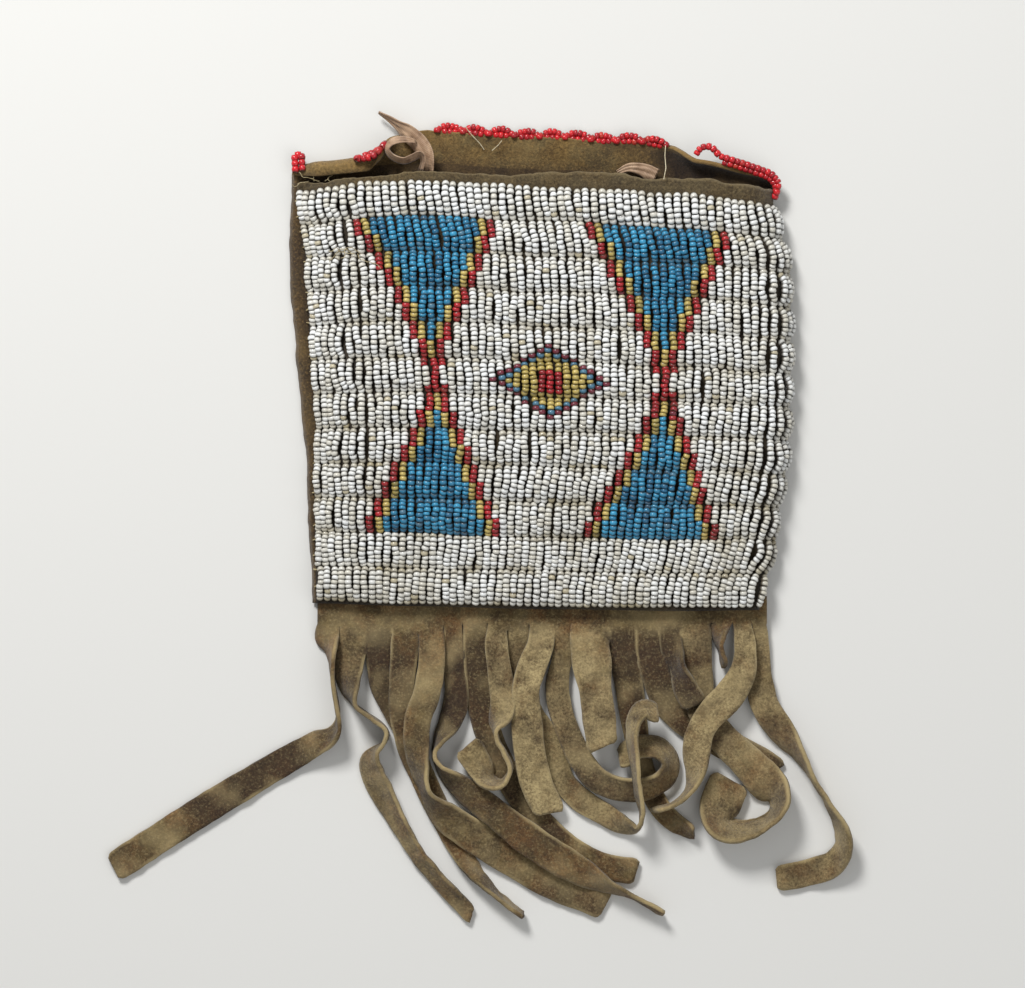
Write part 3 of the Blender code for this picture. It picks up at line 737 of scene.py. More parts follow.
@dataclass
class BeadTree:
    """Geometry nodes that thread a pierced bead on every point, turned along its thread."""

    # Sides round a bead, and of its wall's section
    facets: int = 10
    profile_facets: int = 6

    def __post_init__(self) -> None:
        """Build the tree with its named inputs."""
        self.group = bpy.data.node_groups.new("threaded_beads", "GeometryNodeTree")
        self.inputs: dict[str, str] = {}
        sockets = (
            ("Points", "NodeSocketGeometry", None),
            ("Bead Width", "NodeSocketFloat", 1.8 * MM),
            ("Bead Length", "NodeSocketFloat", 1.0 * MM),
            ("Hole Width", "NodeSocketFloat", 0.5 * MM),
            ("Width Variation", "NodeSocketFloat", 0.05),
            ("Seed", "NodeSocketInt", 0),
            ("Glass", "NodeSocketMaterial", None),
        )
        for name, kind, default in sockets:
            made = self.group.interface.new_socket(name, in_out="INPUT", socket_type=kind)
            if default is not None:
                made.default_value = default
            self.inputs[name] = made.identifier
        self.group.interface.new_socket("Beads", in_out="OUTPUT", socket_type="NodeSocketGeometry")
        self._build(NodeTree(self.group))

    def _bead(self, tree: NodeTree, given: bpy.types.NodeOutputs) -> bpy.types.Node:
        """Add the nodes of one bead: a ring of glass round its hole.

        Args:
            tree: The tree.
            given: The tree's inputs.

        Returns:
            The node that gives the bead's mesh.
        """
        width, hole = given["Bead Width"], given["Hole Width"]
        total = tree.add("ShaderNodeMath", {0: width, 1: hole}, operation="ADD")
        middle = tree.add("ShaderNodeMath", {0: total, 1: 0.25}, operation="MULTIPLY")
        glass = tree.add("ShaderNodeMath", {0: width, 1: hole}, operation="SUBTRACT")
        wall = tree.add("ShaderNodeMath", {0: glass, 1: 0.25}, operation="MULTIPLY")
        half_share = 0.5 / math.cos(math.pi / self.profile_facets)
        lengths = {0: given["Bead Length"], 1: half_share}
        half_length = tree.add("ShaderNodeMath", lengths, operation="MULTIPLY")
        ring, section = (
            tree.add("GeometryNodeCurvePrimitiveCircle", {"Resolution": sides, "Radius": radius})
            for sides, radius in ((self.facets, middle), (self.profile_facets, 1.0))
        )
        scale = tree.add("ShaderNodeCombineXYZ", {0: wall, 1: half_length, 2: 1.0})
        sized = tree.add("GeometryNodeTransform", {"Geometry": section, "Scale": scale})
        bead = tree.add("GeometryNodeCurveToMesh", {"Curve": ring, "Profile Curve": sized})
        return tree.add("GeometryNodeSetShadeSmooth", {"Geometry": bead})

    def _build(self, tree: NodeTree) -> None:
        """Add the nodes: a bead on each point, and what its glass needs to know.

        Args:
            tree: The tree.
        """
        given = tree.add("NodeGroupInput").outputs
        place = tree.add("GeometryNodeInputPosition")
        along, up, size, centre = (
            tree.add("GeometryNodeInputNamedAttribute", {"Name": name}, data_type="FLOAT_VECTOR")
            for name in ("along", "up", "size", "centre")
        )
        marked = tree.add(
            "GeometryNodeStoreNamedAttribute",
            {"Geometry": given["Points"], "Name": "centre", "Value": place},
            data_type="FLOAT_VECTOR",
            domain="POINT",
        )
        spread = given["Width Variation"]
        least = tree.add("ShaderNodeMath", {0: 1.0, 1: spread}, operation="SUBTRACT")
        most = tree.add("ShaderNodeMath", {0: 1.0, 1: spread}, operation="ADD")
        varied = tree.add(
            "FunctionNodeRandomValue", {"Min": least, "Max": most, "Seed": given["Seed"]}, data_type="FLOAT"
        ).outputs[1]
        wide = tree.add("ShaderNodeCombineXYZ", {0: varied, 1: varied, 2: 1.0})
        turn = tree.add(
            "FunctionNodeAxesToRotation",
            {"Primary Axis": along, "Secondary Axis": up},
            primary_axis="Z",
            secondary_axis="X",
        )
        threaded = {
            "Points": marked,
            "Instance": self._bead(tree, given),
            "Rotation": turn,
            "Scale": tree.add("ShaderNodeVectorMath", {0: size, 1: wide}, operation="MULTIPLY"),
        }
        placed = tree.add("GeometryNodeInstanceOnPoints", threaded)
        held = tree.add("GeometryNodeRealizeInstances", {"Geometry": placed})
        away = tree.add("ShaderNodeVectorMath", {0: place, 1: centre}, operation="SUBTRACT")
        above, endways = (
            tree.add("ShaderNodeVectorMath", {0: away, 1: ahead}, operation="DOT_PRODUCT").outputs["Value"]
            for ahead in (up, along)
        )
        end = tree.add("ShaderNodeMath", {0: endways}, operation="ABSOLUTE")
        # How high up its bead a place lies, and how near its end, as shares of half its width and length
        for name, distance, whole in (("rise", above, "Bead Width"), ("end", end, "Bead Length")):
            half = tree.add("ShaderNodeMath", {0: given[whole], 1: 0.5}, operation="MULTIPLY")
            share = tree.add("ShaderNodeMath", {0: distance, 1: half}, operation="DIVIDE")
            held = tree.add(
                "GeometryNodeStoreNamedAttribute",
                {"Geometry": held, "Name": name, "Value": share},
                data_type="FLOAT",
                domain="POINT",
            )
        for name in ("centre", "along", "up", "size"):
            held = tree.add("GeometryNodeRemoveAttribute", {"Geometry": held, "Name": name})
        glass = tree.add("GeometryNodeSetMaterial", {"Geometry": held, "Material": given["Glass"]})
        tree.add("NodeGroupOutput", {0: glass})

    def thread(
        self, name: str, beads: Sequence[Bead], glass: bpy.types.Material, hole: float, seed: int
    ) -> bpy.types.Object:
        """Make one piece of beads.

        Args:
            name: The piece's name.
            beads: Its beads.
            glass: Their material.
            hole: Width of the hole through each.
            seed: Seed of their small differences in width.

        Returns:
            A plain mesh object.
        """
        mesh = bpy.data.meshes.new(name)
        mesh.from_pydata([bead.centre for bead in beads], [], [])
        width = sum(bead.width for bead in beads) / len(beads)
        length = sum(bead.length for bead in beads) / len(beads)
        vectors = {
            "along": [bead.along for bead in beads],
            "up": [bead.up for bead in beads],
            "size": [
                Vector((bead.width / width, bead.width / width, bead.length / length)) for bead in beads
            ],
        }
        for key, values in vectors.items():
            made = mesh.attributes.new(key, "FLOAT_VECTOR", "POINT")
            made.data.foreach_set("vector", [value for vector in values for value in vector])
        for key in ("tint", "soil"):
            made = mesh.attributes.new(key, "FLOAT", "POINT")
            made.data.foreach_set("value", [getattr(bead, key) for bead in beads])
        piece = bpy.data.objects.new(name, mesh)
        bpy.context.scene.collection.objects.link(piece)
        modifier = piece.modifiers.new("Beads", "NODES")
        modifier.node_group = self.group
        values = {
            "Bead Width": width, "Bead Length": length, "Hole Width": hole, "Seed": seed, "Glass": glass,
        }
        for key, value in values.items():
            modifier[self.inputs[key]] = value
        return settled(piece)


@dataclass
class Beadwork:
    """Twelve lanes of sixty strings, sewn down at the lanes' edges so that they arch between them."""

    form: PouchForm
    tree: BeadTree
    first_lane_beads: int = 7
    lane_beads: int = 8
    middle_string: int = 29
    hourglass_reach: int = 14
    # The lanes that the hourglasses start and end in, and the rows of red at their waist
    figure_lanes: tuple[int, int] = (1, 9)
    waist_rows: int = 2
    diamond_lane: int = 5
    diamond_half_rows: tuple[int, ...] = (8, 7, 6, 5, 3, 2, 1, 0)
    core_strings: int = 1
    core_rows: int = 2
    dull_outline: tuple[str, str] = ("diamond_red", "diamond_blue")
    bead_width: float = 1.75 * MM
    hole: float = 0.5 * MM
    closed_spacing: float = 1.825 * MM
    nominal_spacing: float = 1.87 * MM
    edge_height: float = 0.05 * MM
    crest_height: float = 1.42 * MM
    arch_power: float = 2.1
    path_steps: int = 24
    # Where a string starts below its lane's upper line, and how long it is, as shares of the lane
    string_start: float = 0.035
    string_share: float = 0.93
    # How far its stitches stray down the pouch and across it, in millimetres: as waves, then each by itself
    mouth_stray: tuple[float, float] = (0.75, 0.12)
    lane_stray: tuple[float, float] = (0.36, 0.07)
    side_stray: tuple[float, float] = (0.55, 0.1)
    top_rise: float = 0.02
    stray_strings: float = 6.0
    side_strings: float = 9.0
    lift: tuple[float, float] = (-0.16, 0.2)
    curl: float = 0.16
    wander: float = 0.3 * MM
    steady: float = 0.5
    across_limits: tuple[float, float] = (0.004, 0.999)
    # Ranges of the beads' lengths and widths, and how often one is big or of an odd colour
    bead_lengths: tuple[float, float] = (0.76, 1.24)
    string_widths: tuple[float, float] = (0.97, 1.02)
    bead_widths: tuple[float, float] = (0.94, 1.03)
    big_width: float = 1.07
    big_chance: float = 0.08
    odd_chance: float = 0.02
    # How aged a string is at most, and a bead by itself; a power over 1 leaves most of them fresh
    string_aged: float = 0.5
    string_power: float = 1.5
    bead_aged: float = 0.6
    bead_power: float = 1.6
    most_aged: float = 0.85
    bead_tilt: float = 0.06
    bead_slip: float = 0.09 * MM
    slip_up: tuple[float, float] = (-0.8, 1.0)
    slip_aside: tuple[float, float] = (-1.3, 1.3)
    bead_fill: float = 0.97
    # Soil on the whole, towards the bottom and towards the sides, and on the beads beside the stitches, where
    # it is partly painted shade in the creases between lanes
    soils_and_crease_shade: tuple[float, float, float, float] = (0.35, 1.0, 0.5, 1.3)
    run_lengths: tuple[int, ...] = (3, 4, 5, 5, 6, 7, 8)
    # How many strings an opening pushes aside, on each side of it
    opening_reach: int = 3
    # Dark openings that stand out: the lane, then the string after which it opens, and its extra width
    openings: dict[int, dict[int, float]] = field(
        default_factory=lambda: {
            1: {16: 0.35 * MM}, 2: {0: 0.8 * MM, 4: 0.6 * MM, 56: 0.6 * MM}, 3: {56: 0.5 * MM},
            4: {4: 0.6 * MM, 56: 0.5 * MM, 37: 0.4 * MM}, 5: {0: 0.9 * MM, 47: 0.5 * MM, 57: 0.6 * MM},
            6: {0: 0.8 * MM, 26: 0.5 * MM, 57: 0.5 * MM}, 7: {0: 0.5 * MM, 3: 0.5 * MM, 26: 0.5 * MM},
            8: {0: 0.8 * MM, 45: 0.5 * MM}, 9: {2: 0.5 * MM, 30: 0.4 * MM}, 10: {56: 0.5 * MM},
        }
    )
    seed: int = 29

    def colour_of(self, string: int, lane: int, row: int) -> tuple[BeadColour, str]:
        """The colour of one bead and the solid that it belongs to.

        Args:
            string: From 0 at the left.
            lane: From 0 at the top.
            row: The bead's place on its string, from the top.

        Returns:
            The colour and the solid's name.
        """
        across = string - self.middle_string
        name = f"lane_{lane + 1:02}_white"
        first, last = self.figure_lanes
        if not first <= lane <= last:
            return BeadColour.WHITE, name
        diamond_row = row - self.lane_beads // 2 + self.lane_beads * (lane - self.diamond_lane)
        if abs(across) < len(self.diamond_half_rows):
            ring = self.diamond_half_rows[abs(across)] - abs(diamond_row)
            if abs(across) <= self.core_strings and abs(diamond_row) <= self.core_rows:
                return BeadColour.RED, "diamond_core"
            if ring == 0:
                return BeadColour.RED, "diamond_red"
            if ring == 1:
                return BeadColour.BLUE, "diamond_blue"
            if ring > 1:
                return BeadColour.YELLOW, "diamond_yellow"
        half_lanes = last - first + 1
        half_lane = 2 * (lane - first) + (row >= self.lane_beads // 2) + 1
        reach = half_lanes - half_lane if half_lane <= half_lanes else half_lane - half_lanes - 1
        end = "upper" if half_lane <= half_lanes else "lower"
        for side, offset in (("left", -self.hourglass_reach), ("right", self.hourglass_reach)):
            off_centre = abs(across - offset)
            waist = self.waist_rows <= row < self.lane_beads - self.waist_rows
            flared = lane == self.diamond_lane and not waist
            if off_centre == reach or (flared and off_centre == 1):
                return BeadColour.RED, f"hourglass_{side}_red"
            if off_centre == reach - 1:
                return BeadColour.YELLOW, f"hourglass_{side}_{end}_yellow"
            if off_centre < reach - 1:
                return BeadColour.BLUE, f"hourglass_{side}_{end}_blue"
        if across < -self.hourglass_reach:
            return BeadColour.WHITE, f"{name}_left"
        if across > self.hourglass_reach:
            return BeadColour.WHITE, f"{name}_right"
        if lane == self.diamond_lane:
            return BeadColour.WHITE, f"{name}_middle_{'left' if across < 0 else 'right'}"
        return BeadColour.WHITE, f"{name}_middle"

    def leans(self, lane: int) -> list[float]:
        """How far each string of a lane leans sideways at its middle.

        They close up in runs, with gaps between.

        Args:
            lane: The lane.

        Returns:
            One sideways distance for each string.
        """
        draw = random.Random(self.seed + lane)
        strings = self.form.strings
        wide = self.openings.get(lane, {})
        ends: list[int] = []
        start = 0
        while start < strings:
            end = min(start + draw.choice(self.run_lengths), strings)
            forced = [after + 1 for after in wide if start < after + 1 < end]
            end = min(forced) if forced else end
            ends.append(end)
            start = end
        leans: list[float] = []
        start = 0
        for end in ends:
            centre = (start + end - 1) / 2
            shrink = self.nominal_spacing - self.closed_spacing
            leans += [(centre - string) * shrink for string in range(start, end)]
            start = end
        for after, extra in wide.items():
            for string in range(strings):
                steps = string - after if string > after else after + 1 - string
                side = 1 if string > after else -1
                leans[string] += side * extra / 2 * max(1 - (steps - 1) / self.opening_reach, 0)
        return leans

    def stray(self, string: int, line: int, draw: random.Random) -> float:
        """How many millimetres a stitch strays down from its line, which is 0 at the mouth."""
        wave, alone = self.mouth_stray if line == 0 else self.lane_stray
        return wave * ripple(string, line * 9.7, 1.5, self.stray_strings) + draw.uniform(-alone, alone)

    def side_slip(self, string: int, place: float, draw: random.Random) -> float:
        """How far sideways a stitch slips; its place tells one line of stitches from another."""
        wave, alone = self.side_stray
        return wave * MM * ripple(string, place, 7.5, self.side_strings) + draw.uniform(-alone, alone) * MM

    def string_path(
        self, string: int, lane: int, lean: float, draw: random.Random
    ) -> list[tuple[Vector, Vector]]:
        """The middle line of one string, from its stitch at the lane's top to the one at its bottom.

        Args:
            string: From 0 at the left.
            lane: From 0 at the top.
            lean: How far it leans sideways at its middle.
            draw: Source of its small differences.

        Returns:
            Points and the directions out of the hide there.
        """
        form = self.form
        front_width = self.nominal_spacing * form.strings
        top_shift = (self.stray(string, lane, draw) - self.top_rise) * MM / form.lane_length
        low_shift = self.stray(string, lane + 1, draw) * MM / form.lane_length
        top_slip = self.side_slip(string, lane * 5.3, draw)
        low_slip = self.side_slip(string, lane * 5.3 + 3.1, draw)
        lift = draw.uniform(*self.lift) * MM
        curl = draw.uniform(-self.curl, self.curl) * MM
        wander = self.wander * (self.steady if lane in (0, form.lanes - 1) else 1)
        path = []
        for step in range(self.path_steps + 1):
            share = step / self.path_steps
            lanes = lane + self.string_start + top_shift + (self.string_share + low_shift - top_shift) * share
            arch = 1 - abs(2 * share - 1) ** self.arch_power
            height = self.edge_height + (self.crest_height + lift - self.edge_height) * arch
            slip = top_slip + (low_slip - top_slip) * share
            slip += lean * math.sin(math.pi * share) ** 0.8 + curl * math.sin(math.tau * share)
            slip += wander * ripple(string * 0.45, lane * 7 + share * 2.6, 11, 1.0)
            least, most = self.across_limits
            across = min(max((string + 0.5) / form.strings + slip / front_width, least), most)
            foot = form.front_point(across, lanes, form.hide / 2)
            point = form.front_point(across, lanes, form.hide / 2 + height)
            path.append((point, (point - foot).normalized()))
        return path

    def soil(self, string: int, lane: int, stitched: bool) -> float:
        """How soiled a bead is, with painted shade beside the stitches.

        Args:
            string: Its string, from 0 at the left.
            lane: Its lane, from 0 at the top.
            stitched: Whether it lies beside a stitch.

        Returns:
            Its soil: about 1 on the whole, and more where hands and hide rub it; the extra beside the
            stitches is partly painted shade in the creases between lanes.
        """
        whole, bottom, sides, stitches = self.soils_and_crease_shade
        down = lane / self.form.lanes
        edge = abs(string / self.form.strings - 0.5) * 2
        # Beside the stitches the extra is partly painted shade in the creases between lanes
        return whole + bottom * down**2 + sides * edge**4 + (stitches if stitched else 0.0)

    def string_beads(self, string: int, lane: int, lean: float, draw: random.Random) -> list[Bead]:
        """Thread one string: its beads share its length, each a little different.

        Args:
            string: From 0 at the left.
            lane: From 0 at the top.
            lean: How far it leans sideways at its middle.
            draw: Source of its small differences.

        Returns:
            Its beads, from the top.
        """
        path = self.string_path(string, lane, lean, draw)
        reach = [0.0]
        for (start, _), (end, _) in zip(path, path[1:]):
            reach.append(reach[-1] + (end - start).length)
        count = self.first_lane_beads if lane == 0 else self.lane_beads
        shares = [draw.uniform(*self.bead_lengths) for _ in range(count)]
        lengths = [share * reach[-1] / sum(shares) for share in shares]
        string_tint = self.string_aged * draw.random() ** self.string_power
        string_width = self.bead_width * draw.uniform(*self.string_widths)
        beads = []
        place = 0.0
        for length in lengths:
            middle = place + length / 2
            place += length
            number = max(index for index, value in enumerate(reach[:-1]) if value <= middle)
            share = (middle - reach[number]) / (reach[number + 1] - reach[number])
            (start, start_up), (end, end_up) = path[number], path[number + 1]
            along = (end - start).normalized()
            along += Vector([draw.uniform(-self.bead_tilt, self.bead_tilt) for _ in range(3)])
            big = self.big_width if draw.random() < self.big_chance else draw.uniform(*self.bead_widths)
            tint = 1.0
            if draw.random() > self.odd_chance:
                own_tint = self.bead_aged * draw.random() ** self.bead_power
                tint = min(string_tint + own_tint, self.most_aged)
            centre = start.lerp(end, share) + start_up * self.bead_slip * draw.uniform(*self.slip_up)
            centre += start_up.cross(along) * self.bead_slip * draw.uniform(*self.slip_aside)
            up = start_up.lerp(end_up, share)
            soil = self.soil(string, lane, len(beads) in (0, count - 1))
            width = string_width * big
            beads.append(Bead(centre, along.normalized(), up, width, length * self.bead_fill, tint, soil))
        return beads

    def build(self, finishes: dict[BeadColour, GlassFinish]) -> None:
        """Thread every lane and dress each solid's beads.

        Args:
            finishes: The finish of each colour.
        """
        glasses = {colour: finish.material() for colour, finish in finishes.items()}
        groups: dict[tuple[str, BeadColour], list[Bead]] = {}
        for lane in range(self.form.lanes):
            draw = random.Random(self.seed * 100 + lane)
            for string, lean in enumerate(self.leans(lane)):
                for row, bead in enumerate(self.string_beads(string, lane, lean, draw)):
                    colour, node = self.colour_of(string, lane, row)
                    bead.tint = 1.0 if node in self.dull_outline else bead.tint
                    groups.setdefault((node, colour), []).append(bead)
        for seed, ((node, colour), beads) in enumerate(sorted(groups.items(), key=lambda item: item[0][0])):
            piece = self.tree.thread(f"{node}_beads", beads, glasses[colour], self.hole, seed)
            dress(piece, [node])


# Hide


@dataclass
class Sheet:
    """An open sheet of hide or silk, made by a rule, that becomes a piece with a thickness."""

    name: str
    finish: bpy.types.Material
    thickness: float

    def build(
        self,
        columns: int,
        rows: int,
        place: Callable[[float, float], Vector],
        marks: Callable[[float, float], tuple[float, float, float]],
    ) -> bpy.types.Object:
        """Make the sheet.

        Args:
            columns: Faces across.
            rows: Faces along.
            place: Gives the middle surface for a share across and a share along.
            marks: Gives how worn the edge, how dark the stained hide and painted shade, and how
            bleached the hide is there, from 0 to 1.

        Returns:
            A closed piece.
        """
        bm = bmesh.new()
        bmesh.ops.create_grid(bm, x_segments=columns, y_segments=rows, size=0.5)
        layers = [bm.verts.layers.float.new(name) for name in ("edge", "stain_and_shade", "pale")]
        for vertex in bm.verts:
            across, along = vertex.co.x + 0.5, vertex.co.y + 0.5
            vertex.co = place(across, along)
            for layer, mark in zip(layers, marks(across, along)):
                vertex[layer] = mark
        bmesh.ops.recalc_face_normals(bm, faces=bm.faces)
        return self.thicken(mesh_object(self.name, bm, self.finish))

    def thicken(self, made: bpy.types.Object) -> bpy.types.Object:
        """Give an open sheet its thickness, half to each side."""
        solid = made.modifiers.new("Thickness", "SOLIDIFY")
        solid.thickness = self.thickness
        solid.offset = 0
        return settled(made)


@dataclass
class Panels:
    """The front panel with its rim at the mouth, and the back panel with its flap."""

    form: PouchForm
    front_columns: int = 150
    front_rows: int = 110
    back_columns: int = 150
    back_rows: int = 90
    flap_rows: int = 26
    cut_edge: float = 0.5 * MM
    lump: float = 0.22 * MM
    lump_size: float = 9 * MM
    # The rim is cut lower at its left end: what stays of it, where it starts to rise and over how far
    low_rim: float = 0.42
    rim_rise: tuple[float, float] = (0.2, 0.5)
    rim_wave: float = 0.2
    # The left margin's roll: its height, its waves as a steady part and a changing one, and their length
    left_roll: float = 1.2 * MM
    left_waves: tuple[float, float] = (0.75, 0.35)
    left_wave_length: float = 16 * MM
    ragged: float = 0.45 * MM
    flap_wave: float = 0.55 * MM
    flap_wave_length: float = 11 * MM
    roll_end: float = -36.0 * MM
    roll_opens: float = 5.0 * MM
    roll_turn: float = math.radians(215)
    roll_radius: float = 1.75 * MM
    roll_tip: float = -57.6 * MM
    roll_taper: float = 7.0 * MM
    roll_uneven: float = 0.16
    roll_lump: float = 0.2 * MM
    edge_wear: float = 0.6
    margin_wear: float = 0.2
    # How dark the back is at its margin, then the painted shade inside the pouch, and how far across each
    # starts and ends
    margin_dark: float = 0.7
    margin_ramp: tuple[float, float] = (0.0, 1 / 60)
    inside_shade: float = 0.9
    inside_ramp: tuple[float, float] = (0.012, 0.03)
    # The flap: painted shade in the crease at its foot and on its upright right end, and lighter painted
    # shade before that, all as shares of it
    crease_shade: float = 0.55
    crease_ramp: tuple[float, float] = (0.0, 0.35)
    end_shade: float = 0.97
    end_ramp: tuple[float, float] = (0.7, 0.08)
    end_top: tuple[float, float] = (0.8, 0.2)
    near_shade: float = 0.3
    near_ramp: tuple[float, float] = (0.55, 0.12)
    worn_ramp: tuple[float, float] = (0.93, 0.07)
    roll_pale: float = 0.4
    roll_ramp: tuple[float, float] = (0.13, 0.06)

    def front_place(self, across: float, down: float) -> Vector:
        """The front's middle surface, a little lumpy, with an uneven cut edge at the mouth.

        Args:
            across: Share of the way from the left to the right.
            down: Share of the way from the mouth to the bottom.

        Returns:
            The place.
        """
        form = self.form
        whole = form.rim_lanes + form.lanes + form.hem_lanes
        lanes = -form.rim_lanes + whole * down
        if lanes < 0:
            low = self.low_rim + (1 - self.low_rim) * ramp(across, self.rim_rise)
            lanes *= low + self.rim_wave * ripple(across * 110, 3.0, 0, 5.0, 4)
        point = form.front_point(across, lanes)
        rim = 1 - eased(down * whole / form.rim_lanes)
        lump = ripple(point.x, point.y, 0, self.lump_size, 3)
        point.z += self.lump * (0.3 + rim) * lump
        return point

    def front_marks(self, across: float, down: float) -> tuple[float, float, float]:
        """Pale at the cut edge of the rim, dark with painted shade under the beads.

        Args:
            across: Share of the way from the left to the right; not used.
            down: Share of the way from the mouth to the bottom.

        Returns:
            How worn the edge, how dark the painted shade, and how bleached the hide is.
        """
        form = self.form
        whole = form.rim_lanes + form.lanes + form.hem_lanes
        lanes = down * whole - form.rim_lanes
        edge = 1 - eased(down * whole * form.lane_length / self.cut_edge)
        # Painted shade under the beadwork, which shows dark between the beads
        under = eased((lanes + 0.05) / 0.12)
        return self.edge_wear * edge, under, 0.0

    def back_place(self, across: float, up: float) -> Vector:
        """The back's middle surface: flat, rolled up a little along its left margin, then the flap.

        Args:
            across: Share of the way from the left to the right.
            up: Share of the way from the bottom to the flap's edge.

        Returns:
            The place.
        """
        form = self.form
        body = self.back_rows / (self.back_rows + self.flap_rows)
        share = min(up / body, 1)
        left, right = form.back_edge(share)
        x = left + (right - left) * across
        if up > body:
            beyond = (up - body) / (1 - body)
            return self.flap_place(x, beyond)
        bottom = form.lane_y(x, form.lanes + form.hem_lanes)
        y = bottom + (form.mouth_y(x) - bottom) * share
        margin = max(read_line(form.front_left, y) - left, 0.5 * MM)
        roll = math.sin(math.pi * min((x - left) / (margin + 0.6 * MM), 1))
        steady, changing = self.left_waves
        wave = steady + changing * ripple(y, 0, 4, self.left_wave_length)
        ragged = self.ragged * ripple(y, 4, 0, 7 * MM, 3) * (1 - eased(across * 12))
        return Vector((x + ragged, y, form.hide / 2 + self.left_roll * roll * wave))

    def flap_place(self, x: float, share: float) -> Vector:
        """The flap's middle surface, wavy, with an uneven edge; its left end is rolled right over.

        Args:
            x: Where it is, across.
            share: Share of the way from its foot to its edge.

        Returns:
            The place.
        """
        form = self.form
        if x < self.roll_end:
            return self.roll_place(x, share)
        wave = ripple(x, share * 4 * MM, 5, self.flap_wave_length, 3)
        ragged = self.ragged * ripple(x, 8, 0, 5 * MM, 3) * share
        point = form.flap_point(x, share, ragged)
        point.z += self.flap_wave * max(wave + 0.15, 0) * eased(share * 1.5)
        return point

    def roll_place(self, x: float, share: float) -> Vector:
        """The rolled left end of the flap, which opens out where it meets the rest.

        Args:
            x: Where it is, across.
            share: Share of the way from the flap's foot to its edge.

        Returns:
            The place.
        """
        form = self.form
        open_share = eased((x - self.roll_end + self.roll_opens) / self.roll_opens)
        turn = math.radians(read_line(form.flap_turn, x) / MM)
        turn = self.roll_turn + (turn - self.roll_turn) * open_share
        reach = read_line(form.flap_reach, x)
        radius = (self.roll_radius * turn + (reach - self.roll_radius * turn) * open_share) / turn
        radius *= 1 + self.roll_uneven * ripple(x, 2, 7, self.lump_size, 3)
        radius *= 0.5 + 0.5 * eased((x - self.roll_tip) / self.roll_taper)
        angle = turn * share
        y = form.mouth_y(x) + radius * math.sin(angle)
        z = form.hide / 2 + radius * (1 - math.cos(angle))
        return Vector((x, y, z + self.roll_lump * ripple(x, share * 5 * MM, 3, 4 * MM) * share))

    def back_marks(self, across: float, up: float) -> tuple[float, float, float]:
        """Worn at the flap's cut edge; painted shade inside the pouch, in the crease at the flap's foot and
        on its upright right end.

        Args:
            across: Share of the way from the left to the right.
            up: Share of the way from the bottom to the flap's edge.

        Returns:
            How worn the edge, how dark the hide and its painted shade, and how bleached the hide is.
        """
        body = self.back_rows / (self.back_rows + self.flap_rows)
        if up <= body:
            # Painted shade inside the pouch, past the left margin
            inside = ramp(across, self.inside_ramp)
            dark = self.margin_dark + (self.inside_shade - self.margin_dark) * inside
            return self.margin_wear * (1 - ramp(across, self.margin_ramp)), dark, 0.0
        share = (up - body) / (1 - body)
        # Painted shade in the crease at the flap's foot and on its right end, which stands up
        crease = 1 - ramp(share, self.crease_ramp)
        end = ramp(across, self.end_ramp) * (1 - ramp(share, self.end_top))
        rolled = 1 - ramp(across, self.roll_ramp)
        dark = max(self.crease_shade * crease, self.end_shade * end) * (1 - rolled)
        dark = max(dark, self.near_shade * ramp(across, self.near_ramp))
        return self.edge_wear * ramp(share, self.worn_ramp), dark, self.roll_pale * rolled

    def build(self) -> None:
        """Make and dress both panels."""
        front = Sheet("front_hide_panel", FRONT_HIDE.material(), self.form.hide)
        made = front.build(self.front_columns, self.front_rows, self.front_place, self.front_marks)
        dress(made, ["front_panel"])
        back = Sheet("back_hide_panel", BACK_HIDE.material(), self.form.hide)
        rows = self.back_rows + self.flap_rows
        made = back.build(self.back_columns, rows, self.back_place, self.back_marks)
        dress(made, ["back_panel"])


